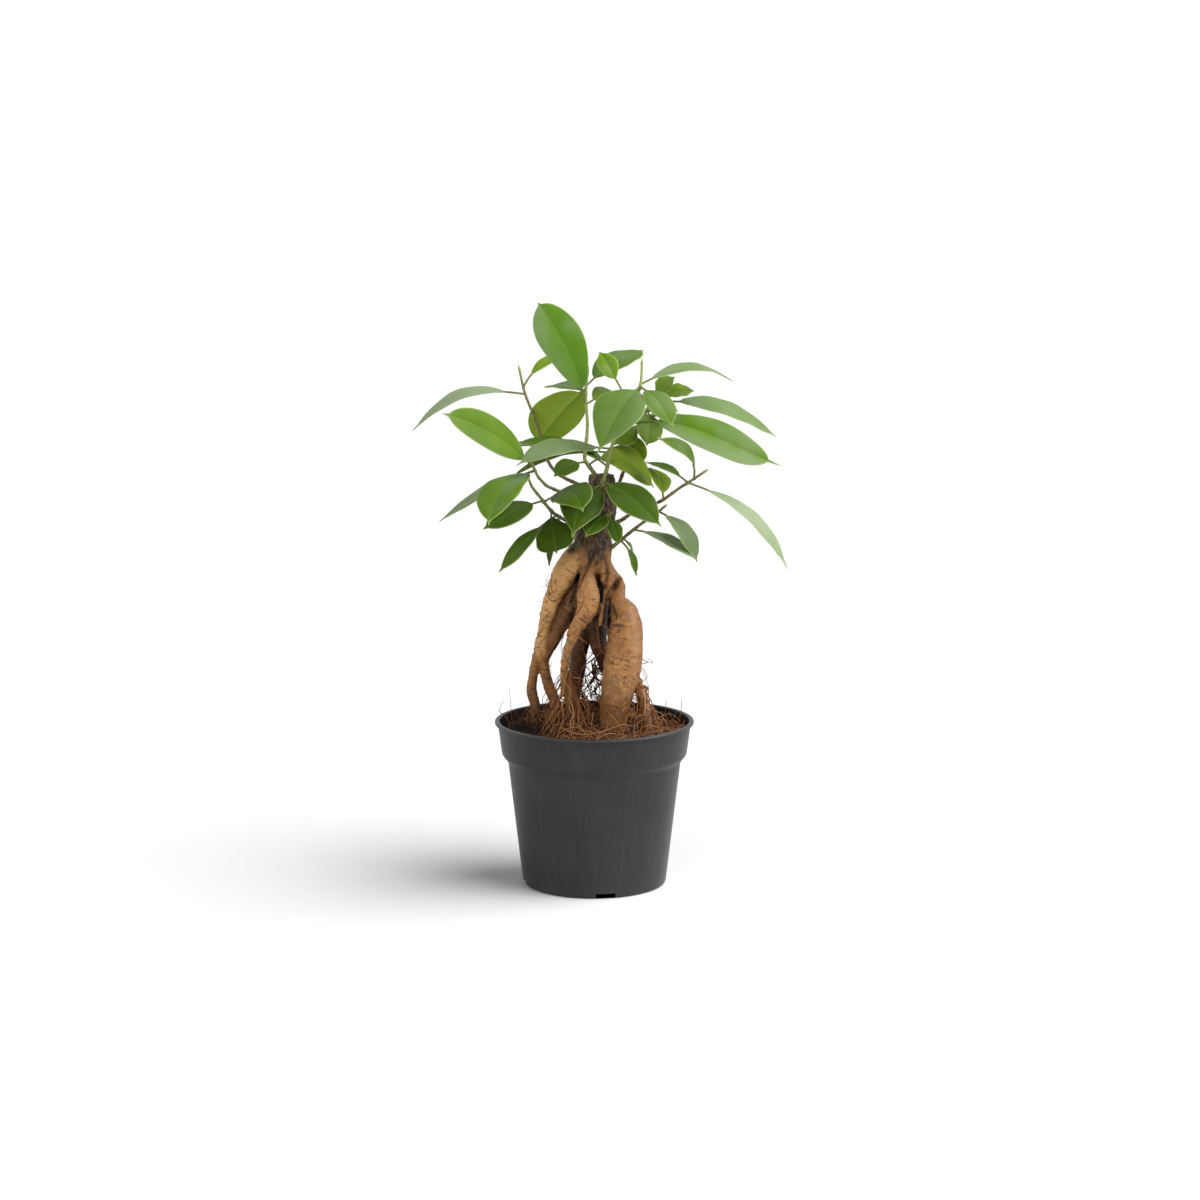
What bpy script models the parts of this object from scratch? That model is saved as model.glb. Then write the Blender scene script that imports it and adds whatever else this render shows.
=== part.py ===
"""A potted ginseng ficus, a fig grown with swollen roots, in a 12 cm nursery pot.

The pot stands on its foot at the origin, +Z up, and the photograph looks along +Y.
Every size below is in millimetres; the meshes are scaled to metres as they are made.
The trunk and its roots are one solid, each leafy shoot is one solid, and the shoots stand
in plain sockets in the trunk as the roots stand in plain holes in the soil.
"""
import math
import random
from dataclasses import dataclass

import bmesh
import bpy
from mathutils import Quaternion, Vector

MM = 0.001
UP = Vector((0, 0, 1))

# Pot: a thin plastic nursery pot with a collar under its lip
POT_HEIGHT = 100.0
LIP_RADIUS = 60.0
LIP_HEIGHT = 2.0
COLLAR_TOP_RADIUS = 58.4
COLLAR_FOOT_RADIUS = 55.8
COLLAR_FOOT = 79.5
BODY_TOP_RADIUS = 52.2
BODY_TOP = 75.5
BASE_RADIUS = 43.4
FOOT_ROUNDING = 2.5
FOOT_INNER_RADIUS = 39.5
WALL = 1.2
FLOOR_UNDERSIDE = 4.2
FLOOR_TOP = 5.6
EDGE = 0.5
POT_SIDES = 40

# Water leaves through four slots in the foot and five round holes in the floor
SLOT_WIDTH = 12.0
SLOT_HEIGHT = 3.2
SLOT_TURN = math.radians(9.3)
SLOTS = 4
DRAIN_RADIUS = 3.5
DRAIN_RING = 24.0
DRAIN_SIDES = 12
DRAINS = 4
CUTTER_REACH = 4.0

# Soil: coarse fibres, level with the collar at the wall and heaped round the roots
CLEARANCE = 0.3
HOLE_CLEARANCE = 0.45
SOIL_EDGE = 93.0
SOIL_HEAP = 104.5
SOIL_HEAP_REACH = 27.0
SOIL_ROUGHNESS = 1.1
SOIL_HOLLOW = (-34.0, -33.0)
SOIL_HOLLOW_DEPTH = 6.0
SOIL_HOLLOW_REACH = 13.0
SOIL_SEED = 12
SOIL_RINGS = 7
SOIL_SIDES = 40

# Leaves
BLADE_THICKNESS = 0.8
PETIOLE_RADIUS = 0.8
PETIOLE_SINK = 0.8
BLADE_STATIONS = (0.0, 0.11, 0.29, 0.5, 0.7, 0.87, 1.0)
BLADE_ROUNDNESS = 0.8
DRIP_TIP = 0.06
LONGEST_STALK_SHARE = 0.45

# Shoots
TWIG_SIDES = 6
TWIG_STEP = 8.0
BUD_LENGTH = 5.0
BUD_TIP_RADIUS = 0.35
BUD_SWELLING = 1.15
SOCKET_REACH = 16.0

# Roots
ROOT_SIDES = 12
ROOT_STEP = 8.5
STUMP_EDGE = 1.3

# Edges that bend less than this, in degrees, are shaded smooth
POT_SMOOTHING = 30.0
PLANT_SMOOTHING = 60.0


@dataclass
class Root:
    """A root or a length of trunk: points down its middle, and its radius at each."""
    path: list
    radii: list
    sides: int = ROOT_SIDES


@dataclass
class Leaf:
    """A leaf: where it leaves the twig (0 foot, 1 bud), its tip, its width, the rise of its
    midrib above the straight line, the direction that its upper side looks in, the length of
    its stalk, where it is widest and highest, its fold in degrees, its midrib's sideways bend and
    the share of it that is a narrow tip."""
    at: float
    tip: tuple
    width: float
    bow: float
    face: tuple
    petiole: float = 7.0
    widest: float = 0.52
    crest: float = 0.5
    fold: float = 14.0
    sweep: float = 0.0
    drip: float = DRIP_TIP


@dataclass
class Shoot:
    """A woody twig with its leaves: points along it, and its radius at foot and bud."""
    path: list
    radii: tuple
    leaves: list


# The swollen trunk: the cut stump, the rough neck, the body and its fat roots.
# Roots end about 15 mm under the soil, where the pot hides them.
TRUNK = [
    Root([(4, 0, 247.5), (4.5, 0, 238), (4.8, 0, 229), (2, 0, 220), (-0.5, 0, 213), (-1, 0, 206), (-1, 1, 199),
          (-0.5, 3, 190), (0, 5, 178), (0, 6, 165)],
         [7.2, 8.0, 9.0, 9.8, 10.8, 11.6, 11.2, 9.6, 8.4, 6.0], 14),
    # left root, leaning back, which forks halfway down
    Root([(-6, 0, 204), (-12, 1, 197.5), (-16, 1, 191), (-19, 1.5, 185), (-22, 2, 179), (-25, 3, 172.5),
          (-28, 4.5, 163), (-30.3, 6, 154), (-31.5, 7, 147), (-32, 8, 140), (-33, 9, 132)],
         [7.5, 8.2, 8.3, 7.9, 6.2, 5.4, 4.7, 3.9, 3.9, 4.4, 1.5]),
    Root([(-32.5, 8, 146), (-35.5, 9, 134), (-37.3, 10.5, 124), (-38, 12, 115), (-35.8, 12, 105), (-35, 12, 95),
          (-34, 12, 84)],
         [3.2, 2.8, 2.9, 3.2, 3.2, 3.0, 1.6], 10),
    Root([(-30.8, 8, 145), (-30.5, 8, 135), (-30, 8.5, 128), (-28, 9.5, 120), (-24.2, 10, 110), (-22, 11, 102),
          (-20, 12, 93), (-19, 12, 83)],
         [3.2, 3.1, 3.0, 3.2, 3.4, 3.4, 3.2, 1.6], 10),
    # shaded flank that joins the left root low down
    Root([(-8, 4, 186), (-12.2, 5, 175.5), (-17, 7, 164.5), (-21.5, 8, 155.5), (-25, 8.5, 147.5),
          (-28.3, 8.5, 140), (-30, 8.5, 134)],
         [6.0, 6.6, 6.4, 5.4, 4.3, 3.2, 2.0]),
    # middle root in front
    Root([(-4, -3, 192), (-3.8, -8, 185.5), (-3.6, -11, 177.5), (-4.2, -12, 170), (-8, -12.5, 163),
          (-11.8, -12, 156.5), (-13.7, -11, 150.5), (-16, -10, 144.5), (-17.8, -8.5, 136), (-17.6, -7, 128),
          (-15.8, -6, 119), (-13.5, -5, 111), (-12.5, -4, 100), (-12, -3, 85)],
         [4.0, 5.4, 6.9, 6.2, 4.6, 3.6, 3.2, 2.5, 2.1, 2.6, 3.2, 3.8, 3.6, 1.6]),
    # middle flank, under the neck
    Root([(4, -2, 202), (6.4, -4.5, 195), (7.8, -6.5, 187), (7.9, -7.5, 180.5), (6.2, -8, 175.5), (5, -8, 171)],
         [5.0, 4.6, 4.8, 3.4, 2.0, 1.0], 10),
    # the fat root on the right, leaning forward from a knobbed start
    Root([(7, -1, 197), (10.5, -2.5, 191), (15.4, -5, 184.5), (15.3, -6, 180), (14, -7, 175), (16.8, -8, 168),
          (18.2, -9, 162.5), (18.8, -10, 156.5), (18.2, -12, 145), (16.5, -14, 133), (14.2, -15, 121),
          (12.2, -15, 109), (10.7, -15, 98), (10, -15, 84)],
         [2.8, 2.4, 2.7, 3.6, 5.0, 8.0, 9.3, 10.0, 11.1, 11.4, 10.2, 8.8, 7.4, 4.0], 14),
    Root([(22.5, -8, 133), (26, -8, 123.5), (28.2, -8.5, 116), (30.5, -9.5, 107), (32.3, -10, 96),
          (33, -10, 83)],
         [3.0, 3.0, 3.2, 3.2, 2.8, 1.4], 10),
    # fat root behind, hidden from the front
    Root([(2, 6, 186), (9, 13, 172), (14, 19, 156), (17, 23, 140), (17, 25, 124), (14, 26, 108), (12, 26, 96),
          (11, 26, 82)],
         [6.0, 7.0, 7.6, 8.2, 8.0, 6.8, 6.0, 3.0], 12),
    # shaded roots in the middle of the back
    Root([(-2, 5, 176), (-4.5, 8, 163), (-7, 12, 150), (-9.5, 15, 137), (-11, 18, 124), (-13.5, 21, 108),
          (-16, 22, 84)],
         [6.0, 6.0, 5.6, 5.2, 5.0, 4.6, 1.8], 10),
    Root([(2, 5, 172), (1.5, 6, 158), (2.5, 8, 145), (5.5, 10, 134), (8.5, 12, 122), (9, 13, 108), (9, 13, 84)],
         [6.6, 6.2, 5.4, 3.6, 3.0, 3.0, 1.6], 10),
    # small tuber that hangs between the middle and the fat root
    Root([(5.6, -7, 176), (4.6, -8.2, 170), (4, -9, 164.5), (3.5, -9, 159)],
         [1.4, 1.6, 2.2, 1.2], 10),
]

# The leafy shoots, named by where they stand in the photograph
SHOOTS = {
    "shoot_upper_left": Shoot(
        [(0, 3, 237), (-10, 10, 242), (-22, 18, 247), (-29, 24, 256), (-32, 28, 268), (-37, 31, 282),
         (-42, 34, 294), (-45, 36, 307)], (1.2, 0.75),
        [Leaf(0.86, (-111, 40, 271), 16, 12, (-0.3, -0.35, 0.9), petiole=10),
         Leaf(0.90, (-14, 60, 318), 10, 6, (0, -0.35, 0.9), petiole=8, crest=0.4),
         Leaf(0.50, (-63, 62, 257), 12, 3, (0, -0.3, 0.9))]),
    "shoot_top": Shoot(
        [(3, 1, 242), (0, 4, 249), (-6, 7, 257), (-5, 8, 266), (-4, 8, 278), (-5, 7, 290), (-5, 6, 300),
         (-4, 6, 308)], (1.3, 0.75),
        [Leaf(0.72, (-33, -4, 351), 26, 2, (0.15, -1, 0.1), petiole=10, widest=0.6, fold=8, sweep=4),
         Leaf(0.88, (-36, 46, 262), 30, 4, (0, 0.85, 0.5), petiole=5, widest=0.58),
         Leaf(0.84, (-28, 52, 297), 20, 3, (0, -0.4, 0.9)),
         Leaf(0.90, (30, 44, 320), 21, 4, (0, -0.35, 0.93)),
         Leaf(0.74, (14, 38, 294), 16, 3, (0.2, -0.5, 0.8)),
         Leaf(0.36, (-47, 15, 266), 14, 3, (0, -0.35, 0.93)),
         Leaf(0.24, (-24, -4, 248), 15, 3, (-0.2, -0.6, 0.75), petiole=5),
         Leaf(0.20, (36, 6, 240), 27, 13, (0.15, -0.5, 0.85), petiole=4, crest=0.38)]),
    "shoot_upper_right": Shoot(
        [(3, -4, 239), (6, -10, 248), (10, -13, 266), (14, -14, 276), (21, -13, 290), (27, -11, 301),
         (28, -9, 314)], (1.15, 0.7),
        [Leaf(0.86, (2, -50, 267), 29, 6, (-0.1, -0.75, 0.65), petiole=5, widest=0.45),
         Leaf(0.85, (46, -36, 281), 18, 4, (0.3, -0.7, 0.65), petiole=5),
         Leaf(0.87, (83.4, 24, 302.5), 14, 10, (0, -0.35, 0.93), petiole=6, drip=0.1),
         Leaf(0.70, (3, 10, 321), 12, 3, (-0.2, -0.8, 0.6), petiole=20),
         Leaf(0.50, (109.4, -26, 257), 24, 8, (0.1, -0.75, 0.65), petiole=19, widest=0.58, crest=0.35,
              sweep=-7, drip=0.1),
         Leaf(0.36, (-45, -44, 259), 21, 7, (0, -0.35, 0.93), petiole=9, crest=0.55),
         Leaf(0.10, (39, -48, 224), 22, 5, (0, -0.6, 0.75), petiole=5),
         Leaf(0.08, (-12.8, -42, 216.5), 26, 5, (-0.12, -0.93, 0.35), petiole=4, widest=0.42, fold=8,
              sweep=4)]),
    "shoot_right": Shoot(
        [(7, -2, 218), (16, -6, 222), (21, -9, 226), (31, -16, 231), (40, -22, 236), (50, -27, 244),
         (56, -29, 248), (63, -31, 253)], (1.2, 0.75),
        [Leaf(0.92, (36, -52, 276), 12, 9, (0.85, -0.35, 0.4), petiole=6),
         Leaf(0.86, (30, 0, 256), 9, 3, (0.1, -0.3, 0.95)),
         Leaf(0.86, (112, -54, 200), 16, 10, (0.55, -0.35, 0.75), petiole=11),
         Leaf(0.60, (33, 1, 253), 15, 4, (0.5, -0.5, 0.7), petiole=4)]),
    "shoot_lower_right": Shoot(
        [(5, 0, 202), (11, -4, 206), (22, -10, 216), (29, -14, 222), (36, -18, 227), (40, -21, 231)],
        (1.15, 0.7),
        [Leaf(0.52, (60, -46, 204), 13, 4, (0.1, -0.25, 0.95), petiole=8),
         Leaf(0.94, (60, -40, 202), 17, 6, (0.6, -0.5, 0.6), petiole=5),
         Leaf(0.30, (25, -14, 190), 7, 3, (0.5, -0.4, 0.7), petiole=6),
         Leaf(0.34, (23, 2, 199), 6, 2, (0.3, -0.5, 0.8), petiole=4)]),
    "shoot_lower_left": Shoot(
        [(-1, -2, 215), (-14, -8, 221), (-24, -12, 227), (-31, -16, 236), (-37, -19, 244), (-38, -20, 247)],
        (1.2, 0.75),
        [Leaf(0.70, (-6.5, -51, 233), 24, 6, (-0.1, -0.6, 0.8), petiole=4, sweep=-7),
         Leaf(0.56, (-22, -33, 206), 24, 4, (-0.2, -0.9, 0.25), petiole=6, widest=0.68, fold=8),
         Leaf(0.72, (-65, -38, 221), 17, 3, (0, -0.65, 0.75)),
         Leaf(0.48, (-56, -34, 195), 13, 3, (-0.5, -0.6, 0.6), petiole=13),
         Leaf(0.44, (-27, -2, 194), 7, 2, (-0.7, -0.7, 0.2), petiole=6)]),
    "shoot_left": Shoot(
        [(2, -3, 231), (-11, -9, 237), (-20, -13, 240), (-28, -18, 244), (-33, -23, 250),
         (-36, -26, 257)], (1.2, 0.75),
        [Leaf(0.98, (-87, -52, 290), 23, 4, (0.2, -0.8, 0.6), widest=0.55, sweep=2.5),
         Leaf(0.93, (-60, -80, 229), 26, 6, (-0.3, -0.65, 0.7), petiole=6, sweep=4.5),
         Leaf(0.94, (-93, 4, 220), 16, 3, (-0.2, -0.4, 0.9))]),
    "shoot_neck": Shoot(
        [(5, -5, 223), (7, -12, 225), (9, -16, 227)], (1.1, 0.7),
        [Leaf(0.85, (-5, -34, 216), 14, 3, (-0.1, -0.75, 0.6), petiole=3),
         Leaf(0.88, (14, -22, 210), 10, 2, (0.4, -0.8, 0.4), petiole=3)]),
    "shoot_back_right": Shoot(
        [(6, 3, 226), (13, 9, 238), (18, 12, 251), (22, 14, 265), (28, 16, 280), (35, 18, 291),
         (40, 19, 297)], (1.2, 0.75),
        [Leaf(0.90, (111, 44, 267), 20, 9, (0.1, -0.45, 0.9), petiole=14, drip=0.1),
         Leaf(0.92, (48, 12, 306), 12, 3, (0.1, -0.7, 0.7), petiole=4),
         Leaf(0.92, (60, 20, 297), 12, 3, (0.1, -0.6, 0.8), petiole=5),
         Leaf(0.80, (50, 8, 286), 12, 3, (0.2, -0.7, 0.7), petiole=4),
         Leaf(0.84, (31, 0, 266), 18, 3, (0.4, -0.7, 0.5), petiole=5),
         Leaf(0.70, (12, 5, 266), 18, 3, (0.2, -0.5, 0.8), petiole=5),
         Leaf(0.66, (27, 15, 253), 13, 2, (-0.3, -0.9, 0.2), petiole=4),
         Leaf(0.76, (66, 68, 266), 20, 6, (0, 0.1, 0.95)),
         Leaf(0.60, (34, 78, 262), 20, 6, (0, 0.2, 0.95))]),
    "shoot_back": Shoot(
        [(4, 6.3, 230), (5.7, 14.3, 238), (7.7, 24.3, 249), (10, 33, 260), (12, 40, 269)], (1.2, 0.75),
        [Leaf(0.55, (-34, 78, 260), 21, 5, (0, 0.2, 0.9)),
         Leaf(0.95, (14, 80, 274), 21, 5, (0.1, 0.2, 0.9)),
         Leaf(0.75, (-52, 62, 240), 20, 6, (-0.2, 0.2, 0.9)),
         Leaf(0.60, (30, 58, 244), 19, 5, (0.2, 0.1, 0.9))]),
    "shoot_low_back": Shoot(
        [(5, 5, 213), (7, 14, 218), (7, 24, 223), (6, 34, 227)], (1.15, 0.7),
        [Leaf(0.92, (-18, 76, 216), 20, 6, (-0.1, 0.3, 0.9)),
         Leaf(0.90, (22, 80, 222), 20, 6, (0.1, 0.3, 0.9)),
         Leaf(0.70, (38, 50, 228), 17, 4, (0.3, 0.1, 0.9)),
         Leaf(0.60, (-26, 42, 206), 17, 4, (-0.3, 0.1, 0.9))]),
}


def empty_scene():
    """Remove every object of the opened file."""
    for old in list(bpy.data.objects):
        bpy.data.objects.remove(old, do_unlink=True)


def material(name, color, roughness, metallic=0.0):
    """A plain Principled material; the colour is linear."""
    made = bpy.data.materials.new(name)
    made.use_nodes = True
    shader = made.node_tree.nodes["Principled BSDF"]
    shader.inputs["Base Color"].default_value = (*color, 1.0)
    shader.inputs["Roughness"].default_value = roughness
    shader.inputs["Metallic"].default_value = metallic
    made.diffuse_color = (*color, 1.0)
    return made


def mesh_object(name, points, faces, collection=None):
    """An object from points in millimetres and its faces, with its faces turned outward."""
    shape = bmesh.new()
    corners = [shape.verts.new(Vector(point) * MM) for point in points]
    for face in faces:
        shape.faces.new([corners[corner] for corner in face])
    bmesh.ops.recalc_face_normals(shape, faces=shape.faces)
    mesh = bpy.data.meshes.new(name)
    shape.to_mesh(mesh)
    shape.free()
    made = bpy.data.objects.new(name, mesh)
    (collection or bpy.context.scene.collection).objects.link(made)
    return made


def smooth_path(points, step):
    """Places about step apart along a smooth curve through the points, each with its place in the list."""
    points = [Vector(point) for point in points]
    ends = [2 * points[0] - points[1], *points, 2 * points[-1] - points[-2]]
    places = []
    for index in range(len(points) - 1):
        before, start, end, after = ends[index:index + 4]
        parts = max(1, round((end - start).length / step))
        for part in range(parts):
            share = part / parts
            place = 0.5 * (2 * start + (end - before) * share
                           + (2 * before - 5 * start + 4 * end - after) * share ** 2
                           + (3 * start - before - 3 * end + after) * share ** 3)
            places.append((place, index + share))
    places.append((points[-1], len(points) - 1.0))
    return places


def between(values, place):
    """A list's value at a fractional place in it."""
    low = min(int(place), len(values) - 2)
    return values[low] + (values[low + 1] - values[low]) * (place - low)


def tube(name, places, radii, sides, collection=None):
    """A closed tube round the places, turned no more than its bends need."""
    directions = []
    for index in range(len(places)):
        ahead = places[min(index + 1, len(places) - 1)]
        behind = places[max(index - 1, 0)]
        directions.append((ahead - behind).normalized())
    side = directions[0].orthogonal().normalized()
    points = []
    for index, (place, direction) in enumerate(zip(places, directions)):
        if index:
            side = directions[index - 1].rotation_difference(direction) @ side
        for corner in range(sides):
            turn = Quaternion(direction, math.tau * corner / sides)
            points.append(place + turn @ side * radii[index])
    faces = []
    for ring in range(len(places) - 1):
        for corner in range(sides):
            following = (corner + 1) % sides
            low, high = ring * sides, (ring + 1) * sides
            faces.append((low + corner, low + following, high + following, high + corner))
    faces.append(tuple(reversed(range(sides))))
    faces.append(tuple(range((len(places) - 1) * sides, len(places) * sides)))
    return mesh_object(name, points, faces, collection)


def blade_half_width(share, leaf):
    """Half the width of a blade at a share of its length: an oval with a small drip tip."""
    tip_power = BLADE_ROUNDNESS * (1 - leaf.widest) / leaf.widest
    oval_share = min(share / (1 - leaf.drip), 1.0)
    oval = oval_share ** BLADE_ROUNDNESS * (1 - oval_share) ** tip_power
    peak = leaf.widest ** BLADE_ROUNDNESS * (1 - leaf.widest) ** tip_power
    return max(leaf.width / 2 * oval / peak, PETIOLE_RADIUS * (1 - share / 2))


def leaf_body(name, base, leaf, collection):
    """One leaf as a closed body: a round stalk that widens into a folded blade."""
    chord = Vector(leaf.tip) - base
    length = chord.length
    along = chord / length
    face = Vector(leaf.face)
    upward = (face - along * face.dot(along)).normalized()
    across = along.cross(upward)
    stalk = min(leaf.petiole / length, LONGEST_STALK_SHARE)
    shares = [-PETIOLE_SINK / length, stalk / 2]
    shares += [stalk + (1 - stalk) * station for station in BLADE_STATIONS]
    crest_power = math.log(0.5) / math.log(leaf.crest)
    over, under = [], []
    for share in shares:
        inside = max(share, 0.0)
        arch = math.sin(math.pi * inside ** crest_power)
        blade = (share - stalk) / (1 - stalk)
        if blade < 0:
            half, thickness, fold = PETIOLE_RADIUS, 2 * PETIOLE_RADIUS, 0.0
        else:
            half = blade_half_width(blade, leaf)
            thickness = BLADE_THICKNESS
            fold = math.radians(leaf.fold)
        middle = base + chord * share + (upward * leaf.bow + across * leaf.sweep) * arch
        for side in (-1, 0, 1):
            edge = middle + (across * side * math.cos(fold) + upward * abs(side) * math.sin(fold)) * half
            over.append(edge + upward * thickness / 2)
            under.append(edge - upward * thickness / 2)
    columns = 3
    count = len(over)
    faces = []
    for row in range(len(shares) - 1):
        for column in range(columns - 1):
            near = row * columns + column
            far = near + columns
            upper = [(near, far, far + 1), (near, far + 1, near + 1)]
            faces += upper
            faces += [tuple(count + corner for corner in reversed(face)) for face in upper]
        for edge in (row * columns, row * columns + columns - 1):
            faces.append((edge, edge + columns, count + edge + columns, count + edge))
    for start in (0, count - columns):
        top = list(range(start, start + columns))
        faces.append(tuple(top + [count + corner for corner in reversed(top)]))
    return mesh_object(name, over + under, faces, collection)


def apply_modifiers(made):
    """Replace the object's mesh by what its modifiers make of it."""
    bpy.context.view_layer.update()
    evaluated = made.evaluated_get(bpy.context.evaluated_depsgraph_get())
    result = bpy.data.meshes.new_from_object(evaluated)
    made.modifiers.clear()
    made.data = result
    result.name = made.name


def boolean(made, operation, pieces):
    """Join or cut the object with a collection of pieces, then remove the pieces."""
    modifier = made.modifiers.new(operation.lower(), "BOOLEAN")
    modifier.operation = operation
    modifier.operand_type = "COLLECTION"
    modifier.collection = pieces
    apply_modifiers(made)
    for piece in list(pieces.objects):
        bpy.data.objects.remove(piece, do_unlink=True)
    bpy.data.collections.remove(pieces)


def new_collection(name):
    """A collection linked to the scene."""
    made = bpy.data.collections.new(name)
    bpy.context.scene.collection.children.link(made)
    return made


def drop_scraps(made):
    """Keep the largest connected body of a mesh."""
    shape = bmesh.new()
    shape.from_mesh(made.data)
    unseen = set(shape.verts)
    bodies = []
    while unseen:
        body, front = set(), [unseen.pop()]
        while front:
            corner = front.pop()
            body.add(corner)
            for edge in corner.link_edges:
                other = edge.other_vert(corner)
                if other in unseen:
                    unseen.remove(other)
                    front.append(other)
        bodies.append(body)
    bodies.sort(key=len, reverse=True)
    for scrap in bodies[1:]:
        bmesh.ops.delete(shape, geom=list(scrap), context="VERTS")
    shape.to_mesh(made.data)
    shape.free()


def finish(made, surface, smooth_below):
    """Give an object its material and smooth shading."""
    made.data.materials.clear()
    made.data.materials.append(surface)
    made.data.shade_smooth()
    made.data.set_sharp_from_angle(angle=math.radians(smooth_below))


def wall_radius(height, inset):
    """The pot's radius at a height, measured to its outside less an inset."""
    if height >= COLLAR_FOOT:
        share = (height - COLLAR_FOOT) / (POT_HEIGHT - COLLAR_FOOT)
        return COLLAR_FOOT_RADIUS + (COLLAR_TOP_RADIUS - COLLAR_FOOT_RADIUS) * share - inset
    if height >= BODY_TOP:
        share = (height - BODY_TOP) / (COLLAR_FOOT - BODY_TOP)
        return BODY_TOP_RADIUS + (COLLAR_FOOT_RADIUS - BODY_TOP_RADIUS) * share - inset
    return BASE_RADIUS + (BODY_TOP_RADIUS - BASE_RADIUS) * height / BODY_TOP - inset


def turned(name, profile, sides):
    """A closed body turned round Z from a profile of (radius, height) that starts and ends on Z."""
    points, rings = [], []
    for radius, height in profile:
        if radius == 0:
            rings.append([len(points)])
            points.append((0, 0, height))
        else:
            start = len(points)
            rings.append(list(range(start, start + sides)))
            for side in range(sides):
                turn = math.tau * side / sides
                points.append((radius * math.cos(turn), radius * math.sin(turn), height))
    faces = []
    for upper, lower in zip(rings, rings[1:]):
        for side in range(sides):
            following = (side + 1) % sides
            if len(upper) == 1:
                faces.append((upper[0], lower[side], lower[following]))
            elif len(lower) == 1:
                faces.append((upper[side], upper[following], lower[0]))
            else:
                faces.append((upper[side], upper[following], lower[following], lower[side]))
    return mesh_object(name, points, faces)


def make_pot(surface):
    """The pot: a turned wall with lip, collar, step and raised floor, slotted and drained."""
    lip_foot = POT_HEIGHT - LIP_HEIGHT
    inner_top = wall_radius(POT_HEIGHT, WALL)
    profile = [
        (0, FLOOR_TOP),
        (wall_radius(FLOOR_TOP, WALL) - 2 * EDGE, FLOOR_TOP),
        (wall_radius(FLOOR_TOP + 2 * EDGE, WALL), FLOOR_TOP + 2 * EDGE),
        (wall_radius(BODY_TOP + EDGE, WALL), BODY_TOP + EDGE),
        (wall_radius(COLLAR_FOOT + EDGE, WALL), COLLAR_FOOT + EDGE),
        (inner_top, POT_HEIGHT - EDGE),
        (inner_top + EDGE, POT_HEIGHT),
        (LIP_RADIUS - EDGE, POT_HEIGHT),
        (LIP_RADIUS, POT_HEIGHT - EDGE),
        (LIP_RADIUS, lip_foot + EDGE),
        (LIP_RADIUS - EDGE, lip_foot),
        (wall_radius(lip_foot, 0), lip_foot),
        (wall_radius(COLLAR_FOOT + 2 * EDGE, 0), COLLAR_FOOT + 2 * EDGE),
        (wall_radius(COLLAR_FOOT, 0) - EDGE, COLLAR_FOOT),
        (wall_radius(BODY_TOP, 0) + EDGE, BODY_TOP),
        (wall_radius(BODY_TOP - 3 * EDGE, 0), BODY_TOP - 3 * EDGE),
        (wall_radius(FOOT_ROUNDING, 0), FOOT_ROUNDING),
        (BASE_RADIUS - EDGE, EDGE),
        (BASE_RADIUS - 3 * EDGE, 0),
        (FOOT_INNER_RADIUS, 0),
        (FOOT_INNER_RADIUS - EDGE, FLOOR_UNDERSIDE),
        (0, FLOOR_UNDERSIDE),
    ]
    pot = turned("pot", profile, POT_SIDES)
    cutters = new_collection("pot cutters")
    for slot in range(SLOTS):
        turn = SLOT_TURN - math.pi / 2 + math.tau * slot / SLOTS
        outward = Vector((math.cos(turn), math.sin(turn), 0))
        sideways = Vector((-math.sin(turn), math.cos(turn), 0)) * SLOT_WIDTH / 2
        inner = outward * (FOOT_INNER_RADIUS - CUTTER_REACH)
        outer = outward * (BASE_RADIUS + CUTTER_REACH)
        low, high = UP * -CUTTER_REACH, UP * SLOT_HEIGHT
        points = [end + side + level for level in (low, high) for end in (inner, outer)
                  for side in (-sideways, sideways)]
        faces = [(0, 1, 3, 2), (4, 6, 7, 5), (0, 2, 6, 4), (1, 5, 7, 3), (0, 4, 5, 1), (2, 3, 7, 6)]
        mesh_object("slot cutter", points, faces, cutters)
    drains = [(0.0, 0.0)]
    for drain in range(DRAINS):
        turn = SLOT_TURN + math.tau * (drain + 0.5) / DRAINS
        drains.append((DRAIN_RING * math.cos(turn), DRAIN_RING * math.sin(turn)))
    for x, y in drains:
        ends = [Vector((x, y, FLOOR_UNDERSIDE - CUTTER_REACH)), Vector((x, y, FLOOR_TOP + CUTTER_REACH))]
        tube("drain cutter", ends, [DRAIN_RADIUS, DRAIN_RADIUS], DRAIN_SIDES, cutters)
    boolean(pot, "DIFFERENCE", cutters)
    finish(pot, surface, POT_SMOOTHING)
    return pot


def soil_height(x, y, rough):
    """The soil's level: heaped in the middle, hollow at one place by the wall."""
    out = math.hypot(x, y)
    heap = (SOIL_HEAP - SOIL_EDGE) * math.exp(-(out / SOIL_HEAP_REACH) ** 2)
    hollow_distance = math.hypot(x - SOIL_HOLLOW[0], y - SOIL_HOLLOW[1])
    hollow = SOIL_HOLLOW_DEPTH * math.exp(-(hollow_distance / SOIL_HOLLOW_REACH) ** 2)
    return SOIL_EDGE + heap - hollow + rough


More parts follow.
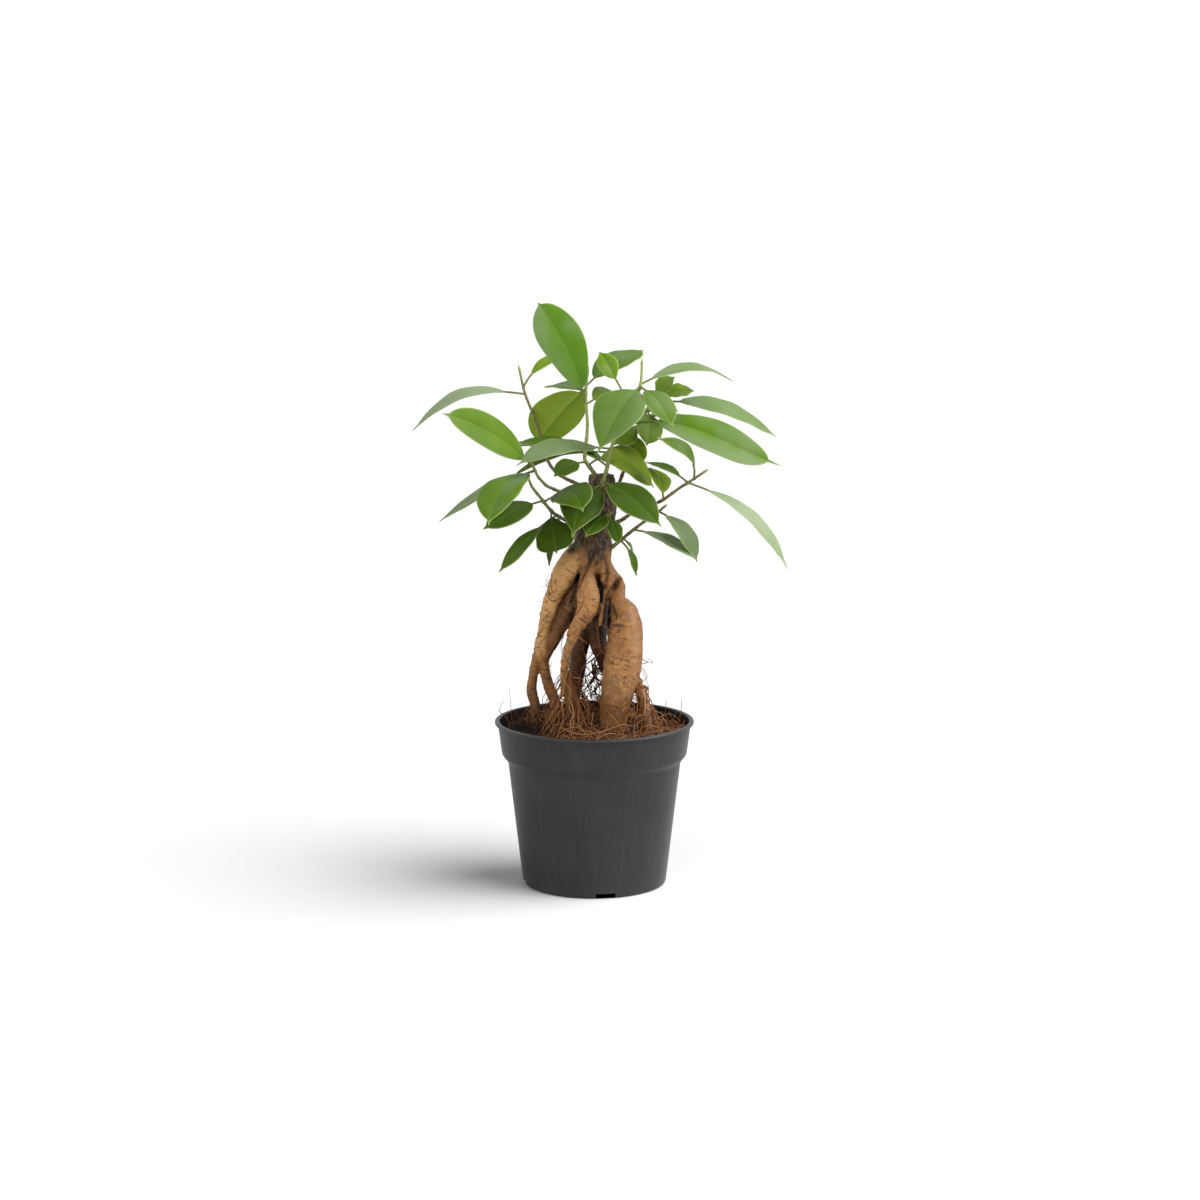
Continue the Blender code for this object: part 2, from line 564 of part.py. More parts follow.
def make_soil(surface):
    """The soil fills the pot, clear of its wall by a thin gap, with a rough heaped top."""
    draw = random.Random(SOIL_SEED)
    inset = WALL + 2 * CLEARANCE
    floor = FLOOR_TOP + CLEARANCE
    top_radius = wall_radius(SOIL_EDGE - SOIL_HOLLOW_DEPTH, inset)
    points = [(0, 0, floor)]
    rings = [
        (wall_radius(floor, inset) - 2 * EDGE, floor),
        (wall_radius(BODY_TOP, inset), BODY_TOP + CLEARANCE),
        (wall_radius(COLLAR_FOOT, inset), COLLAR_FOOT + 3 * EDGE),
    ]
    for ring in range(SOIL_RINGS):
        rings.append((top_radius * (1 - ring / SOIL_RINGS), None))
    for radius, height in rings:
        for side in range(SOIL_SIDES):
            turn = math.tau * side / SOIL_SIDES
            x, y = radius * math.cos(turn), radius * math.sin(turn)
            level = height
            if level is None:
                level = soil_height(x, y, SOIL_ROUGHNESS * radius / top_radius * draw.uniform(-1, 1))
            points.append((x, y, level))
    points.append((0, 0, soil_height(0, 0, 0)))
    last = len(points) - 1
    faces = []
    for side in range(SOIL_SIDES):
        following = (side + 1) % SOIL_SIDES
        faces.append((0, 1 + following, 1 + side))
        for ring in range(len(rings) - 1):
            low, high = 1 + ring * SOIL_SIDES, 1 + (ring + 1) * SOIL_SIDES
            faces.append((low + side, low + following, high + following))
            faces.append((low + side, high + following, high + side))
        high = 1 + (len(rings) - 1) * SOIL_SIDES
        faces.append((high + side, high + following, last))
    soil = mesh_object("soil", points, faces)
    holes = new_collection("root holes")
    for root in TRUNK:
        if root.path[-1][2] < SOIL_EDGE:
            places, radii = root_rings(root, HOLE_CLEARANCE)
            places[-1] = places[-1] - UP * CLEARANCE
            tube("root hole", places, radii, root.sides, holes)
    boolean(soil, "DIFFERENCE", holes)
    drop_scraps(soil)
    finish(soil, surface, PLANT_SMOOTHING)
    return soil


def root_rings(root, wider=0.0):
    """The middle and radius of each ring of a root."""
    steps = smooth_path(root.path, ROOT_STEP)
    places = [place for place, index in steps]
    radii = [between(root.radii, index) + wider for place, index in steps]
    return places, radii


def make_trunk(surface):
    """The trunk and its roots in one solid, with a plain socket for each shoot."""
    roots = new_collection("roots")
    for root in TRUNK[1:]:
        places, radii = root_rings(root)
        tube("root", places, radii, root.sides, roots)
    places, radii = root_rings(TRUNK[0])
    places.insert(0, places[0] + UP * STUMP_EDGE)
    radii.insert(0, radii[0] - STUMP_EDGE)
    trunk = tube("trunk", places, radii, TRUNK[0].sides)
    boolean(trunk, "UNION", roots)
    sockets = new_collection("sockets")
    for shoot in SHOOTS.values():
        places, radii = twig_rings(shoot)
        walked = 0.0
        kept = 1
        while walked < SOCKET_REACH:
            walked += (places[kept] - places[kept - 1]).length
            kept += 1
        places[0] = places[0] - (places[1] - places[0]).normalized() * CLEARANCE
        wider = [radius + HOLE_CLEARANCE for radius in radii[:kept]]
        tube("socket", places[:kept], wider, TWIG_SIDES, sockets)
    boolean(trunk, "DIFFERENCE", sockets)
    drop_scraps(trunk)
    finish(trunk, surface, PLANT_SMOOTHING)
    return trunk


def twig_rings(shoot):
    """The middle and radius of each ring of a twig, which ends in a pointed bud."""
    foot, bud = shoot.radii
    steps = smooth_path(shoot.path, TWIG_STEP)
    places = [place for place, index in steps]
    share = [index / (len(shoot.path) - 1) for place, index in steps]
    radii = [foot + (bud - foot) * value for value in share]
    ending = (places[-1] - places[-2]).normalized()
    places += [places[-1] + ending * BUD_LENGTH * 0.4, places[-1] + ending * BUD_LENGTH]
    radii += [bud * BUD_SWELLING, BUD_TIP_RADIUS]
    return places, radii


def twig_place(shoot, share):
    """The point at a share of a twig's length, from its foot to the base of its bud."""
    places = [place for place, index in smooth_path(shoot.path, TWIG_STEP)]
    lengths = [(after - before).length for before, after in zip(places, places[1:])]
    left = share * sum(lengths)
    for index, length in enumerate(lengths):
        if left <= length:
            return places[index].lerp(places[index + 1], left / length)
        left -= length
    return places[-1]


def make_shoot(name, shoot, surface):
    """A twig and its leaves, joined in one solid."""
    places, radii = twig_rings(shoot)
    twig = tube(name, places, radii, TWIG_SIDES)
    blades = new_collection(name + " leaves")
    for leaf in shoot.leaves:
        leaf_body("leaf", twig_place(shoot, leaf.at), leaf, blades)
    boolean(twig, "UNION", blades)
    drop_scraps(twig)
    finish(twig, surface, PLANT_SMOOTHING)
    return twig


def build():
    """Make the pot, the soil, the trunk and every shoot."""
    empty_scene()
    plastic = material("charcoal plastic", (0.034, 0.034, 0.036), 0.45)
    fibre = material("coir soil", (0.10, 0.045, 0.022), 0.95)
    bark = material("root bark", (0.42, 0.25, 0.12), 0.7)
    foliage = material("fig leaf", (0.10, 0.24, 0.035), 0.35)
    make_pot(plastic)
    make_soil(fibre)
    make_trunk(bark)
    for name, shoot in SHOOTS.items():
        make_shoot(name, shoot, foliage)


build()
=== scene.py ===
"""The potted ginseng ficus as it looks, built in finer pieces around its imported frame.

Sizes are in millimetres and the meshes are scaled to metres as they are made. The trunk, the
twigs and the leaves follow the same lines as the solids that they stand for.
"""
import math
import random
from dataclasses import dataclass

import bmesh
import bpy
import numpy as np
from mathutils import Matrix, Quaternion, Vector, noise
from mathutils.bvhtree import BVHTree


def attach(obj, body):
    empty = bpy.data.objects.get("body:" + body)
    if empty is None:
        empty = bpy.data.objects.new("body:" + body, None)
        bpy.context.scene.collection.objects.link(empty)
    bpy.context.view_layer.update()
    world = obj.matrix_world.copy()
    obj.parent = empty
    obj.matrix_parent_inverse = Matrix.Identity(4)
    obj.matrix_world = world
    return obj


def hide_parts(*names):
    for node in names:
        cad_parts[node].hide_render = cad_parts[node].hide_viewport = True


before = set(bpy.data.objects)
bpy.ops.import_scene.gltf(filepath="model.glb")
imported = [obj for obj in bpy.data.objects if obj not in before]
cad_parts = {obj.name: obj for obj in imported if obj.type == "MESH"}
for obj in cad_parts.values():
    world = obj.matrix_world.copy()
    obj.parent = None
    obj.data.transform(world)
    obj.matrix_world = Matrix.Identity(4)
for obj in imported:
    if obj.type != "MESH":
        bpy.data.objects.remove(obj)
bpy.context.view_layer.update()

MM = 0.001
UP = Vector((0, 0, 1))

# Camera, fitted to the photograph
CAMERA_PLACE = (0.0034, -1.6, 0.43)
CAMERA_TILT = math.radians(80.88)
CAMERA_LENS = 81.03

# Light: where each source stands seen from the plant, its breadth in degrees and its strength
LIGHTS = (
    ("key", (0.58, -0.13, 0.804), 62, 3.4),
    ("front_fill", (-0.50, -0.82, 0.22), 50, 1.45),
    ("right_rim", (0.93, -0.30, 0.16), 40, 0.9),
)
MATTE_LIGHT = "front_fill"
DIM_WORLD = 0.15
GLOSSY_WORLD = 1.1

# Pot
POT_HEIGHT = 100.0
LIP_RADIUS = 60.0
LIP_HEIGHT = 2.0
COLLAR_TOP_RADIUS = 58.4
COLLAR_FOOT_RADIUS = 55.8
COLLAR_FOOT = 79.5
BODY_TOP_RADIUS = 52.2
BODY_TOP = 75.5
BASE_RADIUS = 43.4
FOOT_INNER_RADIUS = 39.5
WALL = 1.2
FLOOR_UNDERSIDE = 4.2
FLOOR_TOP = 5.6
POT_SIDES = 192
SLOT_WIDTH = 12.0
SLOT_HEIGHT = 3.2
SLOT_TURN = math.radians(9.3)
SLOTS = 4
DRAIN_RADIUS = 3.5
DRAIN_RING = 24.0
DRAINS = 4

# Soil
SOIL_EDGE = 93.0
SOIL_HEAP = 104.5
SOIL_HEAP_REACH = 27.0
SOIL_HOLLOW = (-34.0, -33.0)
SOIL_HOLLOW_DEPTH = 6.0
SOIL_HOLLOW_REACH = 13.0
# Painted shade on the soil by the left wall: its middle and its reach
PAINTED_SOIL_SHADE = (-38.0, 1.0)
PAINTED_SOIL_SHADE_REACH = 25.0
SOIL_RADIUS = 56.2
SOIL_RINGS = 84
SOIL_SIDES = 220

# Leaves
PETIOLE_RADIUS = 0.62
PETIOLE_SINK = 0.8
BLADE_ROUNDNESS = 0.8
DRIP_TIP = 0.06
LONGEST_STALK_SHARE = 0.45
BLADE_THICKNESS = 0.42
EDGE_THICKNESS = 0.16
COLUMNS = (0.0, 0.045, 0.12, 0.26, 0.42, 0.58, 0.73, 0.86, 0.95, 1.0)
STALK_ROWS = 7
BLADE_ROWS = 40

# Twigs and roots
TWIG_SIDES = 12
TWIG_STEP = 8.0
BUD_LENGTH = 5.0
ROOT_STEP = 2.2
BARK_VOXEL = 0.72
CREASE_DEPTH = 1.1
SCAR_DEPTH = 1.5
SCAR_WIDTH = 1.2
CREEPERS = 90
NET_THREADS = 26
CLOSED_RAYS = 9
CLOSED_REACH = 30.0
NECK_FOOT = 204.0
NECK_TONGUE = 8.0


@dataclass
class Root:
    """A root or a length of trunk: points down its middle, its radius at each, and how much painted shade its bark
    gets.
    Below 0 it gets painted light and is paler than usual."""
    path: list
    radii: list
    shade: float = 0.0


@dataclass
class Leaf:
    """A leaf as in the solids, with its looks: how bright it is, partly its own tone and partly painted light and
    shade, how yellow, how wavy its edge is, how far it twists from foot to tip in degrees, how far its margins turn
    down, how much pale painted sheen it has, and how much more painted sheen its lower or right half has (below 0 the
    other half)."""
    at: float
    tip: tuple
    width: float
    bow: float
    face: tuple
    petiole: float = 7.0
    widest: float = 0.52
    crest: float = 0.5
    fold: float = 14.0
    sweep: float = 0.0
    drip: float = DRIP_TIP
    bright: float = 0.5
    yellow: float = 0.2
    wave: float = 0.4
    twist: float = 0.0
    curl: float = 0.18
    wax: float = 0.0
    sheen_half: float = 0.0


@dataclass
class Shoot:
    """A woody twig with its leaves: points along it, its radius at foot and bud, and how green it is."""
    path: list
    radii: tuple
    leaves: list
    green: float = 0.0


TRUNK = [
    Root([(4, 0, 248.8), (4, 0, 247.5), (4.5, 0, 238), (4.8, 0, 229), (2, 0, 220), (-0.5, 0, 213), (-1, 0, 206),
          (-1, 1, 199), (-0.5, 3, 190), (0, 5, 178), (0, 6, 165)],
         [6.4, 7.4, 8.0, 9.0, 9.8, 10.8, 11.6, 11.2, 9.6, 8.4, 6.0], 0.15),
    # left root, leaning back, which forks halfway down
    Root([(-6, 0, 204), (-12, 1, 197.5), (-16, 1, 191), (-19, 1.5, 185), (-22, 2, 179), (-25, 3, 172.5),
          (-28, 4.5, 163), (-30.3, 6, 154), (-31.5, 7, 147), (-32, 8, 140), (-33, 9, 132)],
         [7.5, 8.2, 8.3, 7.9, 6.2, 5.4, 4.7, 3.9, 3.9, 4.4, 1.5], -0.5),
    Root([(-32.5, 8, 146), (-35.5, 9, 134), (-37.3, 10.5, 124), (-38, 12, 115), (-35.8, 12, 105), (-35, 12, 95),
          (-34, 12, 84)],
         [3.2, 2.8, 2.9, 3.2, 3.2, 3.0, 1.6], 0.15),
    Root([(-30.8, 8, 145), (-30.5, 8, 135), (-30, 8.5, 128), (-28, 9.5, 120), (-24.2, 10, 110), (-22, 11, 102),
          (-20, 12, 93), (-19, 12, 83)],
         [3.2, 3.1, 3.0, 3.2, 3.4, 3.4, 3.2, 1.6], 0.25),
    # shaded flank that joins the left root low down
    Root([(-8, 4, 186), (-12.2, 5, 175.5), (-17, 7, 164.5), (-21.5, 8, 155.5), (-25, 8.5, 147.5),
          (-28.3, 8.5, 140), (-30, 8.5, 134)],
         [6.0, 6.6, 6.4, 5.4, 4.3, 3.2, 2.0], 0.7),
    # middle root in front
    Root([(-4, -3, 192), (-3.8, -8, 185.5), (-3.6, -11, 177.5), (-4.2, -12, 170), (-8, -12.5, 163),
          (-11.8, -12, 156.5), (-13.7, -11, 150.5), (-16, -10, 144.5), (-17.8, -8.5, 136), (-17.6, -7, 128),
          (-15.8, -6, 119), (-13.5, -5, 111), (-12.5, -4, 100), (-12, -3, 85)],
         [4.0, 5.4, 6.9, 6.2, 4.6, 3.6, 3.2, 2.5, 2.1, 2.6, 3.2, 3.8, 3.6, 1.6], -0.12),
    # middle flank, under the neck
    Root([(4, -2, 202), (6.4, -4.5, 195), (7.8, -6.5, 187), (7.9, -7.5, 180.5), (6.2, -8, 175.5), (5, -8, 171)],
         [5.0, 4.6, 4.8, 3.4, 2.0, 1.0], 0.15),
    # the fat root on the right, leaning forward from a knobbed start
    Root([(7, -1, 197), (10.5, -2.5, 191), (15.4, -5, 184.5), (15.3, -6, 180), (14, -7, 175), (16.8, -8, 168),
          (18.2, -9, 162.5), (18.8, -10, 156.5), (18.2, -12, 145), (16.5, -14, 133), (14.2, -15, 121),
          (12.2, -15, 109), (10.7, -15, 98), (10, -15, 84)],
         [2.8, 2.4, 2.7, 3.6, 5.0, 8.0, 9.3, 10.0, 11.1, 11.4, 10.2, 8.8, 7.4, 4.0], 0.18),
    Root([(22.5, -8, 133), (26, -8, 123.5), (28.2, -8.5, 116), (30.5, -9.5, 107), (32.3, -10, 96),
          (33, -10, 83)],
         [3.0, 3.0, 3.2, 3.2, 2.8, 1.4], 0.3),
    # fat root behind, hidden from the front
    Root([(2, 6, 186), (9, 13, 172), (14, 19, 156), (17, 23, 140), (17, 25, 124), (14, 26, 108), (12, 26, 96),
          (11, 26, 82)],
         [6.0, 7.0, 7.6, 8.2, 8.0, 6.8, 6.0, 3.0], 0.3),
    # shaded roots in the middle of the back
    Root([(-2, 5, 176), (-4.5, 8, 163), (-7, 12, 150), (-9.5, 15, 137), (-11, 18, 124), (-13.5, 21, 108),
          (-16, 22, 84)],
         [6.0, 6.0, 5.6, 5.2, 5.0, 4.6, 1.8], 0.95),
    Root([(2, 5, 172), (1.5, 6, 158), (2.5, 8, 145), (5.5, 10, 134), (8.5, 12, 122), (9, 13, 108), (9, 13, 84)],
         [6.6, 6.2, 5.4, 3.6, 3.0, 3.0, 1.6], 0.95),
    # small tuber that hangs between the middle and the fat root
    Root([(5.6, -7, 176), (4.6, -8.2, 170), (4, -9, 164.5), (3.5, -9, 159)],
         [1.4, 1.6, 2.2, 1.2], 0.25),
]

SHOOTS = {
    "shoot_upper_left": Shoot(
        [(0, 3, 237), (-10, 10, 242), (-22, 18, 247), (-29, 24, 256), (-32, 28, 268), (-37, 31, 282),
         (-42, 34, 294), (-45, 36, 307)], (1.2, 0.75), green=-0.4, leaves=[Leaf(0.86, (-111, 40, 271), 16, 12, (-0.3, -0.35, 0.9), petiole=10, bright=0.45, curl=0.1, wax=0.6),
         Leaf(0.90, (-14, 60, 318), 10, 6, (0, -0.35, 0.9), petiole=8, crest=0.4, bright=0.7, yellow=0.5),
         Leaf(0.50, (-63, 62, 257), 12, 3, (0, -0.3, 0.9), bright=0.3)]),
    "shoot_top": Shoot(
        [(3, 1, 242), (0, 4, 249), (-6, 7, 257), (-5, 8, 266), (-4, 8, 278), (-5, 7, 290), (-5, 6, 300),
         (-4, 6, 308)], (1.3, 0.75),
        [Leaf(0.72, (-33, -4, 351), 26, 2, (0.15, -1, 0.1), petiole=10, widest=0.6, fold=8, sweep=4,
              drip=0.03, bright=1.0, yellow=0.1, wave=0.2, curl=0.12, wax=0.04, sheen_half=-0.2),
         Leaf(0.88, (-36, 46, 262), 30, 4, (0, 0.85, 0.5), petiole=5, widest=0.58, bright=1.0, yellow=0.85,
              sheen_half=0.2),
         Leaf(0.84, (-28, 52, 297), 20, 3, (0, -0.4, 0.9), bright=0.25),
         Leaf(0.90, (30, 44, 320), 21, 4, (0, -0.35, 0.93), bright=0.4),
         Leaf(0.74, (14, 38, 294), 16, 3, (0.2, -0.5, 0.8), bright=0.75, yellow=0.7),
         Leaf(0.36, (-47, 15, 266), 14, 3, (0, -0.35, 0.93), bright=0.4),
         Leaf(0.24, (-24, -4, 248), 15, 3, (-0.2, -0.6, 0.75), petiole=5, bright=0.3),
         Leaf(0.20, (36, 6, 240), 27, 13, (0.15, -0.5, 0.85), petiole=4, crest=0.38, bright=0.5, yellow=0.75)], green=0.55),
    "shoot_upper_right": Shoot(
        [(3, -4, 239), (6, -10, 248), (10, -13, 266), (14, -14, 276), (21, -13, 290), (27, -11, 301),
         (28, -9, 314)], (1.15, 0.7), green=0.7, leaves=[Leaf(0.86, (2, -50, 267), 29, 6, (-0.1, -0.75, 0.65), petiole=5, widest=0.45, bright=0.5, wax=0.06,
              sheen_half=-0.12),
         Leaf(0.85, (46, -36, 281), 18, 4, (0.3, -0.7, 0.65), petiole=5, bright=0.5),
         Leaf(0.87, (83.4, 24, 302.5), 14, 10, (0, -0.35, 0.93), petiole=6, drip=0.04, bright=0.6, wax=0.25),
         Leaf(0.70, (3, 10, 321), 12, 3, (-0.2, -0.8, 0.6), petiole=20, bright=0.9, yellow=0.35),
         Leaf(0.50, (109.4, -26, 257), 24, 8, (0.1, -0.75, 0.65), petiole=19, widest=0.58, crest=0.35,
              sweep=-7, drip=0.1, bright=0.65, wave=0.25, sheen_half=0.4),
         Leaf(0.36, (-45, -44, 259), 21, 7, (0, -0.35, 0.93), petiole=9, crest=0.55, bright=0.4, wax=0.24),
         Leaf(0.10, (39, -48, 224), 22, 5, (0, -0.6, 0.75), petiole=5, bright=0.22),
         Leaf(0.08, (-12.8, -42, 216.5), 26, 5, (-0.12, -0.93, 0.35), petiole=4, widest=0.42, fold=8,
              sweep=4, bright=0.2, wave=0.6, curl=0.3)]),
    "shoot_right": Shoot(
        [(7, -2, 218), (16, -6, 222), (21, -9, 226), (31, -16, 231), (40, -22, 236), (50, -27, 244),
         (56, -29, 248), (63, -31, 253)], (1.2, 0.75), green=-0.5, leaves=[Leaf(0.92, (36, -52, 276), 12, 9, (0.85, -0.35, 0.4), petiole=6, bright=0.4),
         Leaf(0.86, (30, 0, 256), 9, 3, (0.1, -0.3, 0.95), bright=0.45),
         Leaf(0.86, (112, -54, 200), 16, 10, (0.55, -0.35, 0.75), petiole=11, bright=0.6, wax=0.6),
         Leaf(0.60, (33, 1, 253), 15, 4, (0.5, -0.5, 0.7), petiole=4, bright=0.6, yellow=0.95)]),
    "shoot_lower_right": Shoot(
        [(5, 0, 202), (11, -4, 206), (22, -10, 216), (29, -14, 222), (36, -18, 227), (40, -21, 231)],
        (1.15, 0.7), green=-0.4, leaves=[Leaf(0.52, (60, -46, 204), 13, 4, (0.1, -0.25, 0.95), petiole=8, bright=0.45, wax=0.4),
         Leaf(0.94, (60, -40, 202), 17, 6, (0.6, -0.5, 0.6), petiole=5, bright=0.4, wax=0.3),
         Leaf(0.30, (25, -14, 190), 7, 3, (0.5, -0.4, 0.7), petiole=6, bright=0.3),
         Leaf(0.34, (23, 2, 199), 6, 2, (0.3, -0.5, 0.8), petiole=4, bright=0.3)]),
    "shoot_lower_left": Shoot(
        [(-1, -2, 215), (-14, -8, 221), (-24, -12, 227), (-31, -16, 236), (-37, -19, 244), (-38, -20, 247)],
        (1.2, 0.75),
        [Leaf(0.70, (-6.5, -51, 233), 24, 6, (-0.1, -0.6, 0.8), petiole=4, sweep=-7, bright=0.25, wave=1.0, curl=0.3),
         Leaf(0.56, (-22, -33, 206), 24, 4, (-0.2, -0.9, 0.25), petiole=6, widest=0.68, fold=8, bright=0.12,
              wave=0.8, curl=0.3),
         Leaf(0.72, (-65, -38, 221), 17, 3, (0, -0.65, 0.75), bright=0.25),
         Leaf(0.48, (-56, -34, 195), 13, 3, (-0.5, -0.6, 0.6), petiole=13, bright=0.3),
         Leaf(0.44, (-27, -2, 194), 7, 2, (-0.7, -0.7, 0.2), petiole=6, bright=0.15)]),
    "shoot_left": Shoot(
        [(2, -3, 231), (-11, -9, 237), (-20, -13, 240), (-28, -18, 244), (-33, -23, 250),
         (-36, -26, 257)], (1.2, 0.75),
        [Leaf(0.98, (-87, -52, 290), 23, 4, (0.2, -0.8, 0.6), widest=0.55, sweep=2.5, bright=0.66, yellow=0.3,
              wave=0.2, sheen_half=-0.06),
         Leaf(0.93, (-60, -80, 229), 26, 6, (-0.3, -0.65, 0.7), petiole=6, sweep=4.5, bright=0.42),
         Leaf(0.94, (-93, 4, 220), 16, 3, (-0.2, -0.4, 0.9), bright=0.4, wax=0.35)]),
    "shoot_neck": Shoot(
        [(5, -5, 223), (7, -12, 225), (9, -16, 227)], (1.1, 0.7),
        [Leaf(0.85, (-5, -34, 216), 14, 3, (-0.1, -0.75, 0.6), petiole=3, bright=0.3),
         Leaf(0.88, (14, -22, 210), 10, 2, (0.4, -0.8, 0.4), petiole=3, bright=0.3)]),
    "shoot_back_right": Shoot(
        [(6, 3, 226), (13, 9, 238), (18, 12, 251), (22, 14, 265), (28, 16, 280), (35, 18, 291),
         (40, 19, 297)], (1.2, 0.75),
        [Leaf(0.90, (111, 44, 267), 20, 9, (0.1, -0.45, 0.9), petiole=14, drip=0.04, bright=0.6, wax=0.25),
         Leaf(0.92, (48, 12, 306), 12, 3, (0.1, -0.7, 0.7), petiole=4, bright=1.0, yellow=0.75, wave=1.0),
         Leaf(0.92, (60, 20, 297), 12, 3, (0.1, -0.6, 0.8), petiole=5, bright=1.0, yellow=0.75, wave=1.0),
         Leaf(0.80, (50, 8, 286), 12, 3, (0.2, -0.7, 0.7), petiole=4, bright=1.0, yellow=0.75, wave=0.8),
         Leaf(0.84, (31, 0, 266), 18, 3, (0.4, -0.7, 0.5), petiole=5, bright=0.5, yellow=0.4),
         Leaf(0.70, (12, 5, 266), 18, 3, (0.2, -0.5, 0.8), petiole=5, bright=0.4, yellow=0.4),
         Leaf(0.66, (27, 15, 253), 13, 2, (-0.3, -0.9, 0.2), petiole=4, bright=0.6, yellow=0.8),
         Leaf(0.76, (66, 68, 266), 20, 6, (0, 0.1, 0.95), bright=0.35),
         Leaf(0.60, (34, 78, 262), 20, 6, (0, 0.2, 0.95), bright=0.3)]),
    "shoot_back": Shoot(
        [(4, 6.3, 230), (5.7, 14.3, 238), (7.7, 24.3, 249), (10, 33, 260), (12, 40, 269)], (1.2, 0.75),
        [Leaf(0.55, (-34, 78, 260), 21, 5, (0, 0.2, 0.9), bright=0.4),
         Leaf(0.95, (14, 80, 274), 21, 5, (0.1, 0.2, 0.9), bright=0.55),
         Leaf(0.75, (-52, 62, 240), 20, 6, (-0.2, 0.2, 0.9), bright=0.3),
         Leaf(0.60, (30, 58, 244), 19, 5, (0.2, 0.1, 0.9), bright=0.4)]),
    "shoot_low_back": Shoot(
        [(5, 5, 213), (7, 14, 218), (7, 24, 223), (6, 34, 227)], (1.15, 0.7),
        [Leaf(0.92, (-18, 76, 216), 20, 6, (-0.1, 0.3, 0.9), bright=0.35),
         Leaf(0.90, (22, 80, 222), 20, 6, (0.1, 0.3, 0.9), bright=0.45),
         Leaf(0.70, (38, 50, 228), 17, 4, (0.3, 0.1, 0.9), bright=0.3),
         Leaf(0.60, (-26, 42, 206), 17, 4, (-0.3, 0.1, 0.9), bright=0.25)]),
}


# Creases dented into the front of the trunk, as (x, z) lines, with painted shade along them
SCARS = [
    [(15.0, 187.5), (12.5, 183.0), (9.5, 179.5), (7.5, 175.0)],
    [(1.5, 206.0), (-1.5, 199.0), (-5.5, 192.0), (-9.0, 186.0), (-11.5, 179.0), (-13.5, 171.0)],
    [(7.0, 199.0), (8.0, 191.0), (6.0, 182.5)],
    [(10.5, 171.0), (12.5, 165.5)],
]

# Single thin roots: points along each, its radius and its tint from dark to pale
LOOSE_ROOTS = [
    ([(2, -8, 163), (1.6, -9, 160), (2.8, -8, 150), (4, -7, 143), (10.6, -12, 142), (17.6, -22, 145)], 0.75, 0.25),
    ([(3.2, -7, 147), (4, -7, 143), (-1.4, -8, 138), (-7.4, -9, 133), (-8.6, -8, 124)], 0.60, 0.25),
    ([(-8.5, -12, 155), (-6.8, -12, 146), (-5, -10, 138)], 0.30, 0.30),
    ([(-17, 1, 157), (-20, 3, 145), (-19.5, 4, 136)], 0.30, 0.30),
    ([(-20, -22, 100), (-11, -36, 98.7), (1.6, -38, 99.7), (17, -34, 104), (24, -28, 101)], 0.45, 0.70),
    ([(5, -20, 111), (10.5, -28, 108), (17, -38, 101)], 0.40, 0.60),
    ([(-2, -8, 118), (4, -16, 112), (8, -26, 104), (6, -36, 98)], 0.38, 0.55),
    ([(-14, -8, 126), (-18, -14, 114), (-24, -20, 104), (-30, -26, 98)], 0.40, 0.50),
    ([(-50, -11, 97), (-53, -11, 104), (-57, -12, 108), (-54, -14, 115)], 0.30, 0.20),
    ([(-49, -9, 97), (-50, -9, 108), (-51, -10, 121)], 0.26, 0.20),
    ([(40, 12, 96), (43, 10, 103), (43.5, 10, 111)], 0.32, 0.35),
    ([(51, 7, 96), (52.5, 6, 104), (53, 6, 113)], 0.30, 0.45),
    ([(-24, 1, 176), (-27.5, 0, 180), (-29, -2, 184), (-27, -1, 190)], 0.20, 0.45),
    ([(-25, 1, 170), (-29, 1, 174), (-28.5, 1, 178)], 0.20, 0.45),
    ([(27, -14, 141), (32, -17, 138), (35.5, -18, 139)], 0.28, 0.15),
    ([(27, -15, 139), (30, -16, 137), (33, -16, 140), (35, -17, 137)], 0.26, 0.15),
]


def smooth_path(points, step):
    """Places about step apart along a smooth curve through the points, each with its place in the list."""
    points = [Vector(point) for point in points]
    ends = [2 * points[0] - points[1], *points, 2 * points[-1] - points[-2]]
    places = []
    for index in range(len(points) - 1):
        before, start, end, after = ends[index:index + 4]
        parts = max(1, round((end - start).length / step))
        for part in range(parts):
            share = part / parts
            place = 0.5 * (2 * start + (end - before) * share
                           + (2 * before - 5 * start + 4 * end - after) * share ** 2
                           + (3 * start - before - 3 * end + after) * share ** 3)
            places.append((place, index + share))
    places.append((points[-1], len(points) - 1.0))
    return places


def between(values, place):
    """A list's value at a fractional place in it."""
    low = min(int(place), len(values) - 2)
    return values[low] + (values[low + 1] - values[low]) * (place - low)


def smoothstep(low, high, value):
    """0 below low, 1 above high and a smooth rise between."""
    share = np.clip((value - low) / (high - low), 0, 1)
    return share * share * (3 - 2 * share)


